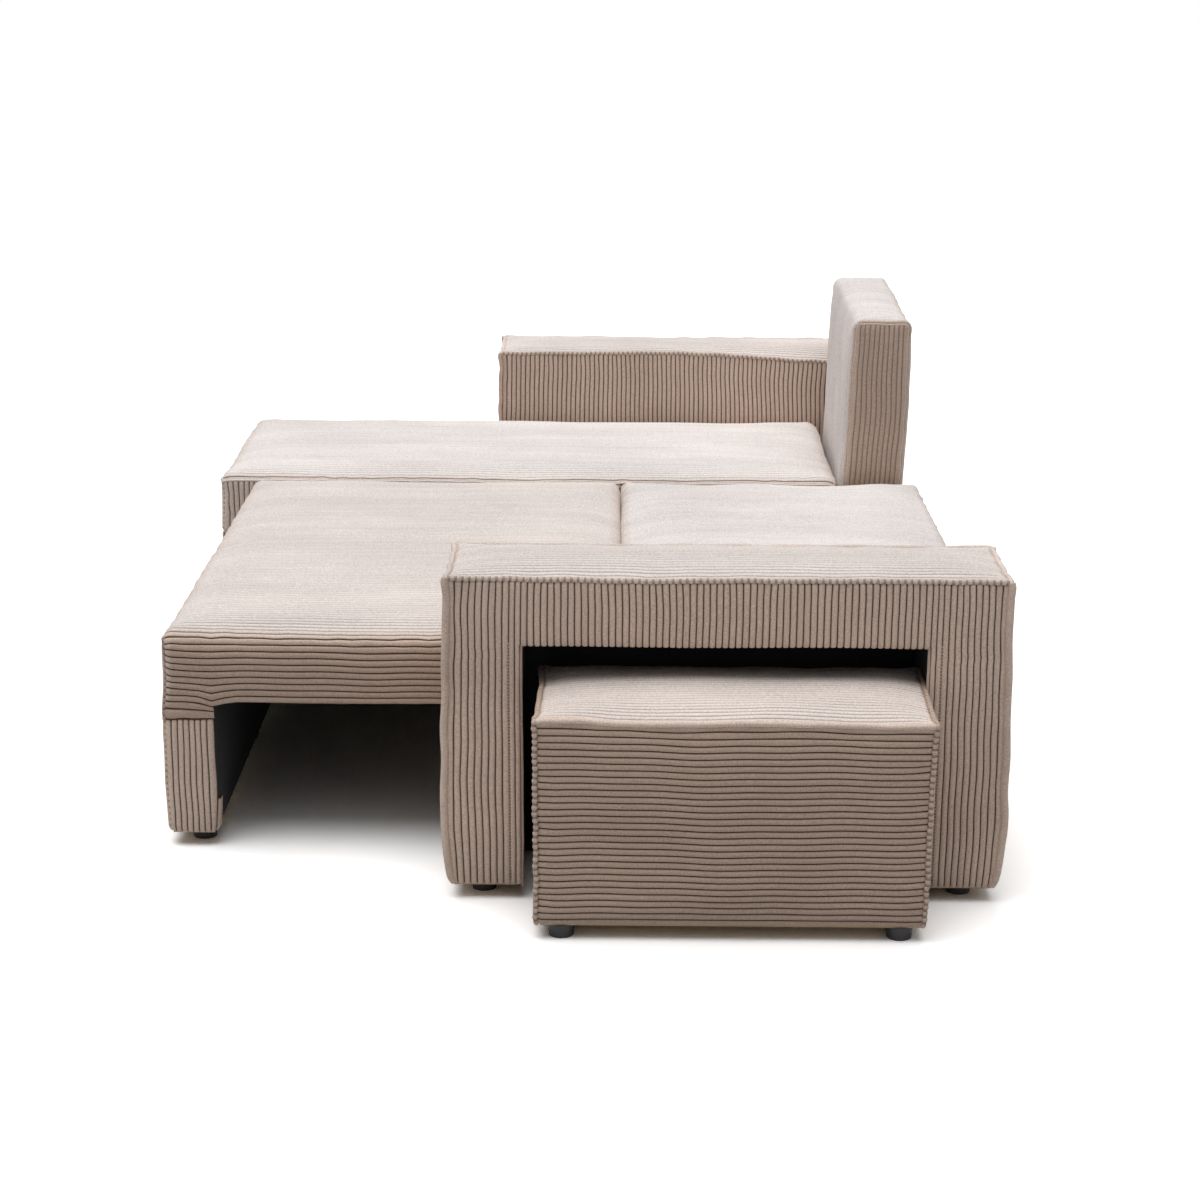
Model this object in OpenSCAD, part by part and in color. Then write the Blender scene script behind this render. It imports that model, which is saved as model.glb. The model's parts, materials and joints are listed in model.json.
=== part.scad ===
// Corner sofa bed, shown made up as a bed, with a storage chaise, an arch armrest and a pouf.
// X runs along the sofa, Y from front to rear, Z up. The origin is on the floor, below the middle.

/* [Overall] */
// Width from outer armrest face to outer armrest face
sofa_w = 2480; // [2300:10:2700]
// Height of the sleeping surface
seat_h = 420; // [400:5:460]
// Height of the backrest
back_h = 800; // [790:5:860]
// Height of the feet
foot_h = 25; // [20:1:30]
// Radius of a foot at its top
foot_r = 25; // [20:1:30]

/* [Armrests] */
// Width of each armrest
arm_w = 240; // [220:5:280]
// Height of each armrest
arm_h = 600; // [580:5:660]
// How far the armrests stand out behind the backrest
arm_over = 10; // [0:1:20]
// Thickness of the padding on top of an armrest
arm_pad_t = 25; // [20:1:35]

/* [Armrest niche] */
// Width of the front leg of the arch armrest
front_leg_w = 130; // [110:1:140]
// Width of the niche that the pouf is kept in
niche_w = 719; // [715:1:735]
// Width of the rear leg of the arch armrest
rear_leg_w = 136; // [110:1:150]
// Height of the underside of the arch
niche_h = 478; // [460:1:490]

/* [Chaise] */
// Width of the chaise
chaise_w = 680; // [620:5:760]
// Length of the chaise from front to rear
chaise_l = 1605; // [1560:5:1700]
// Thickness of the chaise lid with its cushion
lid_t = 130; // [120:1:140]
// Gap between the lid and the backrest that the hinges lie in
lid_rear_gap = 22; // [21:1:26]
// Depth of the chaise backrest from its rear plane to its front face
backrest_t = 146; // [140:1:150]

/* [Pull-out seat] */
// Length of the seat cushion from front to rear
seat_l = 855; // [820:5:900]
// Thickness of the seat with its frame
seat_t = 131; // [125:1:135]
// Thickness of the front board that carries the seat
front_board_t = 95; // [90:1:105]

/* [Back panel] */
// Height of the panel's lower edge when it stands up behind the seat
panel_low = 106; // [100:1:112]
// How far the panel reaches behind the rear plane when it lies flat
panel_over = 30; // [24:1:40]
// Thickness of the back panel
panel_t = 150; // [145:1:155]
// Distance of the panel's pivot below its face and behind its edge
pivot_inset = 35; // [33:1:38]

/* [Pouf] */
// Depth of the pouf
pouf_d = 320; // [300:5:340]
// Height of the pouf
pouf_h = 400; // [380:5:420]
// How far the pouf stands out of the armrest
pouf_out = 185; // [150:5:250]
// How far the pouf sits off the middle of the niche
pouf_shift = 10; // [0:1:14]
// Gap beside the pouf when it stands in the middle of the niche
pouf_gap = 19.5; // [18:0.5:25]

/* [Mechanism] */
// Radius of the seat's rear rollers
roller_r = 25; // [22:1:28]
// Width of the seat's rear rollers
roller_w = 18; // [14:1:18]
// Radius of the roller axles
axle_r = 5; // [4:0.5:6]
// Radius of the back panel's pivot pins
pivot_r = 6; // [5:0.5:7]
// Thickness of the steel plates
plate_t = 4; // [3:0.5:4]
// Largest opening angle of the chaise lid, in degrees
lid_open = 40; // [30:1:40]
// Radius of the lid's hinge pins
hinge_pin_r = 3; // [2.5:0.1:3.5]
// Outer radius of the lid's hinge knuckles
knuckle_r = 6.5; // [6:0.1:7]

/* [Boards and cloth] */
// Thickness of the boards
board_t = 16; // [12:1:18]
// Thickness of the padding and cloth on a board
skin_t = 8; // [6:1:10]
// Thickness of the slats and thin floors
slat_t = 12; // [10:1:14]
// Thickness of the black lining cloth
cloth_t = 1.2; // [1:0.1:1.5]
// Number of slats under each bed cushion
slat_count = 10; // [8:1:12]
// Radius of the assembly bolts
bolt_r = 4; // [3:0.5:4]

/* [Cushions] */
// Radius of the edges of the bed cushions
edge_r = 30; // [26:1:32]
// Height that the bed cushions rise in the middle
crown_h = 10; // [4:1:14]
// How far the sides of a cushion pull in between its corners
pull_in = 5; // [2:0.5:5]
// How far the sides of a cushion draw in at half height
draw_in = 4; // [2:0.5:4]

/* [Clearances] */
// Gap between the pull-out seat and its neighbours at each side
side_gap = 12; // [12:0.5:14]
// Gap between the seat cushion and the back panel
split_gap = 6; // [6:0.5:8]
// Gap between pieces that rest on each other and move apart
rest_gap = 0.3; // [0.2:0.1:0.5]
// Gap around pieces that slide in each other
slide_gap = 0.4; // [0.3:0.1:0.5]
// Radial gap of a pin in its bore
pin_gap = 0.05; // [0.03:0.01:0.1]
// Radial gap of a bolt in its hole
bolt_gap = 0.2; // [0.1:0.1:0.5]

/* [Hidden] */

cord = [0.70, 0.63, 0.58];
cord_top = [0.78, 0.72, 0.68];
wood = [0.80, 0.68, 0.50];
steel = [0.45, 0.46, 0.48];
black = [0.06, 0.06, 0.06];

// Roundness of pins, rollers and feet
fine_fn = 48;
// Overrun of cuts
cut = 1;
// Steps around one round corner, along one side and over one edge of a cushion
corner_steps = 4;
side_steps = 5;
edge_steps = 3;
// Sizes of the rings of the crown, as shares of the cushion's top
crown_shares = [0.86, 0.6, 0.3];
// Radius of a cushion's lower edges and the extra radius of its corners in plan
base_r = 6;
corner_extra = 8;

// Places along X
x_far_out = -(sofa_w + pouf_out) / 2;
x_far_in = x_far_out + arm_w;
x_chaise = x_far_in + chaise_w;
x_near_out = x_far_out + sofa_w;
x_near_in = x_near_out - arm_w;
x_seat_far = x_chaise + side_gap;
x_seat_near = x_near_in - side_gap;
x_bed_mid = (x_seat_far + x_seat_near) / 2;
x_chaise_mid = (x_far_in + x_chaise) / 2;
seat_w = x_seat_near - x_seat_far;

// Places along Y
panel_l = back_h - panel_low;
split_back = panel_l + split_gap - panel_over;
arm_l = front_leg_w + niche_w + rear_leg_w;
pouf_w = niche_w - 2 * pouf_gap;
y_rear = (chaise_l - panel_over) / 2;
y_chaise = y_rear - chaise_l;
y_arm_rear = y_rear + arm_over;
y_arm = y_arm_rear - arm_l;
y_niche = y_arm + front_leg_w;
y_niche_rear = y_niche + niche_w;
y_split = y_rear - split_back;
y_seat = y_split - seat_l;
y_panel = y_split + split_gap;
y_panel_rear = y_panel + panel_l;
y_lid_rear = y_rear - backrest_t - lid_rear_gap;

// Travel of the seat, and drop of the slide blocks within the guide plates
travel = split_back - panel_t - split_gap;
block_drop = seat_h - panel_low - 2 * pivot_inset;
y_pivot = y_panel + pivot_inset;
z_pivot = seat_h - pivot_inset;

// Box of the chaise and its lid
z_box = seat_h - lid_t;
lid_board_t = 18;
lid_margin = 14;
lid_side_gap = 5;
lid_edge_r = 40;
lid_crown = 8;
lid_lift = 1;
floor_t = 10;
z_floor = foot_h + floor_t;

// Chaise backrest: its rear padding, posts, rails and front board
backrest_rear_pad = 24;
backrest_side_pad = 24;
backrest_top_pad = 24;
backrest_side_gap = 4;
backrest_crown = 6;
backrest_hidden = 20;
post_w = 40;
post_t = 60;
post_foot = 35;
rail_h = 60;
facing_t = 6;

// Lid hinges: a strap on the cross rail, a leaf on the lid's rear edge, a pin in three knuckles
hinge_spread = 220;
hinge_w = 40;
knuckle_l = 20;
strap_h = 170;
pin_head_t = 2;
hinge_drop = 45;
leaf_clear = 9;
leaf_foot = 2;
y_hinge = y_lid_rear + leaf_clear;
z_hinge = seat_h - hinge_drop;
y_cross = y_hinge + knuckle_r + plate_t / 2;

// Gas struts: place of both ends when the lid is closed, measured from the rear plane
strut_foot_back = 195;
strut_foot_h = 110;
strut_head_back = 420;
strut_head_h = 272;
strut_tube_r = 9;
strut_rod_r = 4;
strut_eye_r = 10;
strut_eye_w = 10;
strut_wall_gap = 6;
strut_neck = 12;
strut_rod_start = 40;
strut_guide_l = 20;
strut_bracket_t = 3;
strut_bracket_w = 44;
strut_hole_r = 12;
strut_run = [strut_foot_back - strut_head_back, strut_head_h - strut_foot_h];
strut_l = norm(strut_run);
strut_a = atan2(strut_run[1], strut_run[0]);
strut_pin_l = strut_bracket_t + 2 * strut_wall_gap;

// Length of a strut with the lid open, its stroke, and the tube that still guides the rod there
strut_arm = [y_rear - strut_head_back - y_hinge, strut_head_h - z_hinge];
strut_open_y = y_hinge + strut_arm[0] * cos(lid_open) + strut_arm[1] * sin(lid_open);
strut_open_z = z_hinge - strut_arm[0] * sin(lid_open) + strut_arm[1] * cos(lid_open);
strut_open_l = norm([strut_open_y - (y_rear - strut_foot_back), strut_open_z - strut_foot_h]);
strut_tube_l = strut_rod_start + strut_open_l - strut_l + strut_guide_l;

// Fixed base below the seat: beams, rails and boards of the storage box
beam_w = 50;
beam_h = 40;
base_front_gap = 5;
rail_t = 3;
rail_lip = 2;
rail_lip_h = 6;
rail_side = 1;
rail_ends = 110;
y_base = y_seat + travel + front_board_t + 2 * base_front_gap;
base_rear_gap = 5;
base_rear_t = panel_over - base_rear_gap;
base_skin_t = 4;
base_wall_gap = 9;
z_beam = foot_h + beam_h;
z_rail = z_beam + rail_t;
z_axle = z_rail + roller_r + rest_gap;

// Frames of the seat and the back panel
frame_h = 56;
frame_pad = 15;
rail_w = 25;
slat_w = 60;
z_seat = seat_h - seat_t;
z_panel = seat_h - panel_t;
panel_side_gap = 3;
panel_pad = frame_pad + plate_t;
panel_w = seat_w - 2 * panel_side_gap;
panel_frame_h = 60;

// Front board of the seat
front_post_w = 24;
front_foot_x = 60;
front_foot_y = 60;

// Guide plates, with the slot that the slide blocks run in
plate_front = 125;
plate_lap = 60;
plate_foot_h = 130;
plate_axle_edge = 14;
block_w = 16;
block_h = 24;
block_lip = 4;
lip_t = 2.3;
slot_end = 1;
slot_wall = 8;
y_axle = y_split - plate_front + plate_axle_edge + axle_r;
bolt_rise = 14;
bolt_lap = 30;
bolt_head_r = 7;
bolt_head_t = 3;
nut_t = 6;
nut_sides = 6;
hole_extra = 1;

// Pivot plates of the back panel
pivot_plate_w = 100;
pivot_plate_top = 15;
pivot_pad_gap = 2;

// Pouf
pouf_cushion_t = 38;
pouf_edge_r = 14;
pouf_crown = 6;
pouf_cells = 3;
pouf_foot_front = 30;
pouf_foot_side = 45;
x_pouf_out = x_near_out + pouf_out;
x_pouf_in = x_pouf_out - pouf_d;
y_pouf = (y_niche + y_niche_rear - pouf_w) / 2 + pouf_shift;
y_pouf_rear = y_pouf + pouf_w;
z_pouf = pouf_h - pouf_cushion_t;

// Armrest padding, feet and bolts of the modules
arm_cells = 4;
arm_edge_r = 12;
arm_crown = 5;
z_arm = arm_h - arm_pad_t;
foot_inset = 60;
foot_taper_share = 0.88;
side_bolt_z = 160;
beam_bolt_rise = 28;
beam_bolt_z = foot_h + beam_bolt_rise;
bolt_end = 60;

// A box between two corners
module span(x, y, z) {
  translate([x[0], y[0], z[0]])
    cube([x[1] - x[0], y[1] - y[0], z[1] - z[0]]);
}

// A round bar along X, from x0 to x1
module bar(x, y, z, r) {
  translate([x[0], y, z])
    rotate([0, 90, 0])
      cylinder(h = x[1] - x[0], r = r, $fn = fine_fn);
}

// A round corner of an outline, from a start angle through a quarter turn
function corner_points(c, r, start) =
  [for (j = [0:corner_steps]) let (a = start + 90 * j / corner_steps) c + r * [cos(a), sin(a)]];

// The points between two corners, pulled in along a direction
function side_points(p, q, inward, pull) =
  [for (j = [1:side_steps - 1]) let (t = j / side_steps) p + (q - p) * t + inward * pull * sin(180 * t)];

// The outline of a cushion in plan, counted anticlockwise
function pillow_outline(w, l, r, pull) =
  let (cx = w / 2 - r, cy = l / 2 - r)
  concat(
    corner_points([cx, cy], r, 0), side_points([cx, cy + r], [-cx, cy + r], [0, -1], pull),
    corner_points([-cx, cy], r, 90), side_points([-cx - r, cy], [-cx - r, -cy], [1, 0], pull),
    corner_points([-cx, -cy], r, 180), side_points([-cx, -cy - r], [cx, -cy - r], [0, 1], pull),
    corner_points([cx, -cy], r, 270), side_points([cx + r, -cy], [cx + r, cy], [-1, 0], pull)
  );

// How far each ring of a cushion lies inside its outline, and its height
function pillow_rings(h, er, br, draw) =
  concat(
    [[br, 0], [0, br], [draw, (h - er + br) / 2]],
    [for (j = [0:edge_steps]) let (a = 90 * j / edge_steps) [er * (1 - cos(a)), h - er + er * sin(a)]]
  );

// A crowned cushion on the XY plane, centred in plan
module pillow(w, l, h, er, crown, br = base_r, pull = pull_in, draw = draw_in) {
  r = er + corner_extra;
  rings = pillow_rings(h, er, br, draw);
  sides = [
    for (k = rings) [
      for (p = pillow_outline(w - 2 * k[0], l - 2 * k[0], r - k[0], pull)) [p[0], p[1], k[1]]
    ]
  ];
  rim = sides[len(rings) - 1];
  caps = [for (s = crown_shares) [for (p = rim) [p[0] * s, p[1] * s, h + crown * (1 - s * s)]]];
  loops = concat(sides, caps);
  n = len(rim);
  m = len(loops);
  points = concat([for (loop = loops) each loop], [[0, 0, 0], [0, 0, h + crown]]);
  faces = concat(
    [for (k = [0:m - 2]) for (j = [0:n - 1]) [k * n + j, (k + 1) * n + j, (k + 1) * n + (j + 1) % n]],
    [for (k = [0:m - 2]) for (j = [0:n - 1]) [k * n + j, (k + 1) * n + (j + 1) % n, k * n + (j + 1) % n]],
    [for (j = [0:n - 1]) [m * n, j, (j + 1) % n]],
    [for (j = [0:n - 1]) [m * n + 1, (m - 1) * n + (j + 1) % n, (m - 1) * n + j]]
  );
  polyhedron(points = points, faces = faces);
}

// A foot below the plane at foot height
module foot(x, y) {
  translate([x, y, 0])
    cylinder(h = foot_h, r1 = foot_r * foot_taper_share, r2 = foot_r, $fn = fine_fn);
}

// A sleeve of padding and cloth around four upright walls
module sleeve(x, y, z, t) {
  difference() {
    span(x, y, z);
    span([x[0] + t, x[1] - t], [y[0] + t, y[1] - t], [z[0] - cut, z[1] + cut]);
  }
}

// The same shape at the near end and, mirrored, at the far end of the pull-out bed
module both_ends() {
  children();
  translate([2 * x_bed_mid, 0, 0])
    mirror([1, 0, 0])
      children();
}

// The same shape on both sides of the chaise
module both_chaise_sides() {
  children();
  translate([2 * x_chaise_mid, 0, 0])
    mirror([1, 0, 0])
      children();
}

chaise_x = [x_far_in + skin_t, x_chaise - skin_t];
chaise_in_x = [x_far_in + skin_t + board_t, x_chaise - skin_t - board_t];
chaise_y = [y_chaise + skin_t, y_rear - skin_t];
chaise_in_y = [y_chaise + skin_t + board_t, y_rear - skin_t - board_t];

// Bolts between the chaise and the far armrest, and between the base and its neighbours
y_post = y_rear - backrest_rear_pad - post_t;
side_bolt_y = [y_arm + 2 * bolt_end, (y_arm + y_rear) / 2 + bolt_end, (y_cross + board_t + y_post) / 2];
beam_bolt_y = [max(y_base, y_arm + skin_t) + rail_w, y_rear - bolt_end];

module side_bolts(r, x) {
  for (y = side_bolt_y)
    bar(x, y, side_bolt_z, r);
}

module beam_bolts(r, x) {
  for (y = beam_bolt_y)
    bar(x, y, beam_bolt_z, r);
}

module chaise_side_near() color(wood)
  difference() {
    span([chaise_in_x[1], chaise_x[1]], chaise_y, [foot_h, z_box]);
    beam_bolts(bolt_r + bolt_gap, [chaise_in_x[1] - cut, chaise_x[1] + cut]);
  }

module chaise_side_far() color(wood)
  difference() {
    span([chaise_x[0], chaise_in_x[0]], chaise_y, [foot_h, z_box]);
    side_bolts(bolt_r + bolt_gap, [chaise_x[0] - cut, chaise_in_x[0] + cut]);
  }

module chaise_front_board() color(wood)
  span(chaise_in_x, [chaise_y[0], chaise_in_y[0]], [foot_h, z_box]);

module chaise_rear_board() color(wood)
  span(chaise_in_x, [chaise_in_y[1], chaise_y[1]], [foot_h, z_box]);

// Cross rail between the storage box and the backrest, which carries the hinge straps
module chaise_cross_rail() color(wood)
  span(chaise_in_x, [y_cross, y_cross + board_t], [z_floor, z_box]);

module chaise_bottom() color(wood)
  span(chaise_in_x, chaise_in_y, [foot_h, z_floor]);

module chaise_cover() color(cord)
  difference() {
    sleeve([x_far_in, x_chaise], [y_chaise, y_rear], [foot_h, z_box], skin_t);
    side_bolts(bolt_r + hole_extra, [x_far_in - cut, chaise_x[0] + cut]);
    beam_bolts(bolt_r + hole_extra, [chaise_x[1] - cut, x_chaise + cut]);
  }

// The space inside the backrest cushion that its frame fills
backrest_x = [x_far_in + backrest_side_gap + backrest_side_pad, x_chaise - backrest_side_pad];
backrest_y = [y_rear - backrest_rear_pad - post_t - facing_t, y_rear - backrest_rear_pad];
backrest_z = [z_box, back_h - backrest_top_pad];

module backrest_frame() color(wood) {
  post_y = [backrest_y[1] - post_t, backrest_y[1]];
  for (x = [backrest_x[0], backrest_x[1] - post_w])
    span([x, x + post_w], post_y, [z_floor + post_foot, backrest_z[1]]);
  for (z = [backrest_z[0], (backrest_z[0] + backrest_z[1] - rail_h) / 2, backrest_z[1] - rail_h])
    span([backrest_x[0] + post_w + rest_gap, backrest_x[1] - post_w - rest_gap], post_y, [z, z + rail_h]);
}

module backrest_board() color(wood)
  span(backrest_x, [backrest_y[0], backrest_y[0] + facing_t], backrest_z);

module backrest_cushion() color(cord_top)
  difference() {
    translate([(x_far_in + backrest_side_gap + x_chaise) / 2, y_rear, (z_box - backrest_hidden + back_h) / 2])
      rotate([90, 0, 0])
        pillow(chaise_w - backrest_side_gap, back_h - z_box + backrest_hidden, backrest_t,
          edge_r, backrest_crown);
    span(backrest_x, backrest_y, [z_box - backrest_hidden - cut, backrest_z[1]]);
    span([x_far_in - cut, x_chaise + cut], [y_lid_rear, y_rear + cut], [z_box - backrest_hidden - cut, z_box]);
  }

lid_board_x = [x_far_in + lid_margin, x_chaise - lid_margin];
lid_board_y = [y_chaise + lid_margin, y_lid_rear];

module lid_board() color(wood)
  span(lid_board_x, lid_board_y, [z_box, z_box + lid_board_t]);

module lid_cushion() color(cord_top)
  difference() {
    translate([(x_far_in + lid_side_gap + x_chaise) / 2, (y_chaise + y_lid_rear) / 2, z_box + lid_lift])
      pillow(chaise_w - lid_side_gap, y_lid_rear - y_chaise, lid_t - lid_lift, lid_edge_r, lid_crown);
    span(lid_board_x, [lid_board_y[0], y_lid_rear + cut], [z_box - cut, z_box + lid_board_t]);
  }

// Hinge straps rise from the cross rail, with one knuckle each
module lid_hinge_straps() color(steel)
  for (s = [-1, 1])
    translate([x_chaise_mid + s * hinge_spread, 0, 0])
      difference() {
        union() {
          strap_y = [y_cross - plate_t, y_cross];
          span([-hinge_w / 2, hinge_w / 2], strap_y, [z_box - strap_h / 2, z_hinge - knuckle_r - hole_extra]);
          span([-knuckle_l / 2 + slide_gap, knuckle_l / 2 - slide_gap], [y_hinge, strap_y[1]],
            [z_hinge - knuckle_r - hole_extra - cut, z_hinge]);
          bar([-knuckle_l / 2 + slide_gap, knuckle_l / 2 - slide_gap], y_hinge, z_hinge, knuckle_r);
        }
        bar([-hinge_w, hinge_w], y_hinge, z_hinge, hinge_pin_r + pin_gap);
      }

// Hinge leaves on the rear edge of the lid, with two knuckles each
module lid_hinge_leaves() color(steel)
  for (s = [-1, 1])
    translate([x_chaise_mid + s * hinge_spread, 0, 0])
      difference() {
        union() {
          leaf_y = [y_lid_rear, y_lid_rear + plate_t];
          span([-hinge_w / 2, hinge_w / 2], leaf_y, [z_box + leaf_foot, z_hinge - knuckle_r - hole_extra]);
          for (e = [-1, 1])
            translate([e * (hinge_w + knuckle_l) / 4, 0, 0]) {
              k = [-(hinge_w - knuckle_l) / 4, (hinge_w - knuckle_l) / 4];
              span(k, [leaf_y[0], y_hinge], [z_hinge - knuckle_r - hole_extra - cut, z_hinge]);
              bar(k, y_hinge, z_hinge, knuckle_r);
            }
        }
        bar([-hinge_w, hinge_w], y_hinge, z_hinge, hinge_pin_r + pin_gap);
      }

module lid_hinge_pins() color(steel)
  for (s = [-1, 1])
    translate([x_chaise_mid + s * hinge_spread, 0, 0]) {
      bar([-hinge_w / 2, hinge_w / 2], y_hinge, z_hinge, hinge_pin_r);
      for (x = [-hinge_w / 2 - pin_head_t, hinge_w / 2])
        bar([x, x + pin_head_t], y_hinge, z_hinge, hinge_pin_r + hole_extra);
    }

// Place of a gas strut, lying along Y from its foot, next to the near side board
x_strut = chaise_in_x[1] - strut_wall_gap - strut_eye_w;

module strut_place() {
  translate([x_strut, y_rear - strut_foot_back, strut_foot_h])
    rotate([strut_a, 0, 0])
      children();
}

// A bar along the strut, from a to b
module strut_bar(a, b, r) {
  translate([strut_eye_w / 2, a, 0])
    rotate([-90, 0, 0])
      cylinder(h = b - a, r = r, $fn = fine_fn);
}

module strut_studs() color(steel)
  both_chaise_sides()
    bar([x_strut, chaise_in_x[1]], y_rear - strut_foot_back, strut_foot_h, axle_r);

module strut_tubes() color(black)
  both_chaise_sides()
    strut_place()
      difference() {
        union() {
          bar([0, strut_eye_w], 0, 0, strut_eye_r);
          strut_bar(0, strut_neck + cut, strut_rod_r);
          strut_bar(strut_neck, strut_tube_l, strut_tube_r);
        }
        bar([-cut, strut_eye_w + cut], 0, 0, axle_r + pin_gap);
        strut_bar(strut_rod_start - cut, strut_tube_l + cut, strut_rod_r + pin_gap);
      }

module strut_rods() color(steel)
  both_chaise_sides()
    strut_place() {
      strut_bar(strut_rod_start, strut_l - strut_rod_r, strut_rod_r);
      bar([0, strut_eye_w], strut_l, 0, strut_eye_r);
      bar([-strut_pin_l, cut], strut_l, 0, strut_rod_r);
    }

// Brackets under the lid board, whose wide holes are the open pivots of the struts
module strut_brackets() color(steel)
  both_chaise_sides() {
    head_y = y_rear - strut_head_back;
    bracket_x = [x_strut - strut_wall_gap - strut_bracket_t, x_strut - strut_wall_gap];
    difference() {
      span(bracket_x, [head_y - strut_bracket_w / 2, head_y + strut_bracket_w / 2],
        [strut_head_h - strut_bracket_w / 2, z_box]);
      bar([bracket_x[0] - cut, bracket_x[1] + cut], head_y, strut_head_h, strut_hole_r);
    }
  }

module base_side_beams() color(wood)
  both_ends()
    difference() {
      span([x_near_in - beam_w, x_near_in], [y_base, y_rear + base_rear_gap], [foot_h, z_beam]);
      beam_bolts(bolt_r + bolt_gap, [x_near_in - beam_w - cut, x_near_in + cut]);
    }

base_in_x = [x_chaise + beam_w, x_near_in - beam_w];

module base_bottom() color(wood)
  span(base_in_x, [y_base, y_rear + base_rear_gap], [foot_h, z_floor]);

module base_front_wall() color(wood)
  span(base_in_x, [y_base, y_base + board_t], [z_floor, z_seat - base_wall_gap]);

base_rear_y = [y_rear + base_rear_gap, y_rear + base_rear_gap + base_rear_t];
z_base_rear = z_panel - cloth_t - rest_gap;

module base_rear_board() color(wood)
  span([x_chaise + base_skin_t, x_near_in - base_skin_t],
    [base_rear_y[0] + base_skin_t, base_rear_y[1] - base_skin_t], [foot_h, z_base_rear - base_skin_t]);

module base_rear_cover() color(cord)
  difference() {
    span([x_chaise, x_near_in], base_rear_y, [foot_h, z_base_rear]);
    span([x_chaise + base_skin_t, x_near_in - base_skin_t],
      [base_rear_y[0] + base_skin_t, base_rear_y[1] - base_skin_t], [foot_h - cut, z_base_rear - base_skin_t]);
  }

// Channel rails on the beams that the rear rollers run in
roller_x = [x_seat_near - plate_t - roller_w, x_seat_near - plate_t];

module roller_rails() color(steel)
  both_ends() {
    rail_x = [roller_x[0] - rail_side - rail_lip, roller_x[1] + rail_side + rail_lip];
    rail_y = [y_base + side_gap, y_rear - rail_ends];
    difference() {
      span(rail_x, rail_y, [z_beam, z_rail + rail_lip_h]);
      span([rail_x[0] + rail_lip, rail_x[1] - rail_lip], [rail_y[0] - cut, rail_y[1] + cut],
        [z_rail, z_rail + rail_lip_h + cut]);
    }
  }

// Spaces inside the near armrest: its inner panel, and all that lies outside of it
arm_y = [y_arm + skin_t, y_arm_rear - skin_t];
near_panel_x = [x_near_in + skin_t, x_near_in + skin_t + board_t];
near_body_x = [near_panel_x[1], x_near_out - skin_t];
leg_ys = [[arm_y[0], y_niche - skin_t], [y_niche_rear + skin_t, arm_y[1]]];
z_arch = niche_h + skin_t;

module arm_near_panel() color(wood)
  difference() {
    span(near_panel_x, arm_y, [foot_h, z_arm]);
    beam_bolts(bolt_r + bolt_gap, [near_panel_x[0] - cut, near_panel_x[1] + cut]);
  }

module arm_near_legs() color(wood)
  for (y = leg_ys)
    difference() {
      span(near_body_x, y, [foot_h, z_arch]);
      span([near_body_x[0] - cut, near_body_x[1] - board_t], [y[0] + board_t, y[1] - board_t],
        [foot_h + board_t, z_arch - board_t]);
    }

module arm_near_beam() color(wood)
  difference() {
    span(near_body_x, arm_y, [z_arch, z_arm]);
    span([near_body_x[0] - cut, near_body_x[1] - board_t], [arm_y[0] + board_t, arm_y[1] - board_t],
      [z_arch + board_t, z_arm - board_t]);
  }

module arm_near_cover() color(cord)
  difference() {
    span([x_near_in, x_near_out], [y_arm, y_arm_rear], [foot_h, z_arm]);
    span(near_panel_x, arm_y, [foot_h - cut, z_arm + cut]);
    span([near_panel_x[0], near_body_x[1]], arm_y, [z_arch, z_arm + cut]);
    for (y = leg_ys)
      span([near_panel_x[0], near_body_x[1]], y, [foot_h - cut, z_arch + cut]);
    span([near_panel_x[1], x_near_out + cut], [y_niche, y_niche_rear], [foot_h - cut, niche_h]);
    beam_bolts(bolt_r + hole_extra, [x_near_in - cut, near_panel_x[0] + cut]);
  }

module arm_near_top_pad() color(cord_top)
  translate([(x_near_in + x_near_out) / 2, (y_arm + y_arm_rear) / 2, z_arm])
    pillow(arm_w, arm_l, arm_pad_t, arm_edge_r, arm_crown, br = 0, pull = pull_in / 2, draw = 0);

module niche_lining() color(black)
  difference() {
    span([near_panel_x[1], near_panel_x[1] + cloth_t], [y_niche, y_niche_rear], [foot_h, niche_h]);
    beam_bolts(bolt_head_r + hole_extra, [near_panel_x[1] - cut, near_panel_x[1] + skin_t]);
  }

far_panel_x = [x_far_in - skin_t - board_t, x_far_in - skin_t];

module arm_far_panel() color(wood)
  difference() {
    span(far_panel_x, arm_y, [foot_h, z_arm]);
    side_bolts(bolt_r + bolt_gap, [far_panel_x[0] - cut, far_panel_x[1] + cut]);
  }

// The far armrest's frame is a tray with ribs, closed by its panel
module arm_far_frame() color(wood) {
  far_x = [x_far_out + skin_t, far_panel_x[0]];
  rib_step = (arm_y[1] - arm_y[0] - board_t) / arm_cells;
  difference() {
    span(far_x, arm_y, [foot_h, z_arm]);
    for (k = [0:arm_cells - 1])
      span([far_x[0] + board_t, far_x[1] + cut],
        [arm_y[0] + board_t + k * rib_step, arm_y[0] + (k + 1) * rib_step],
        [foot_h + board_t, z_arm - board_t]);
  }
}

module arm_far_cover() color(cord)
  difference() {
    sleeve([x_far_out, x_far_in], [y_arm, y_arm_rear], [foot_h, z_arm], skin_t);
    side_bolts(bolt_r + hole_extra, [x_far_in - skin_t - cut, x_far_in + cut]);
  }

module arm_far_top_pad() color(cord_top)
  translate([(x_far_out + x_far_in) / 2, (y_arm + y_arm_rear) / 2, z_arm])
    pillow(arm_w, arm_l, arm_pad_t, arm_edge_r, arm_crown, br = 0, pull = pull_in / 2, draw = 0);

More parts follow.
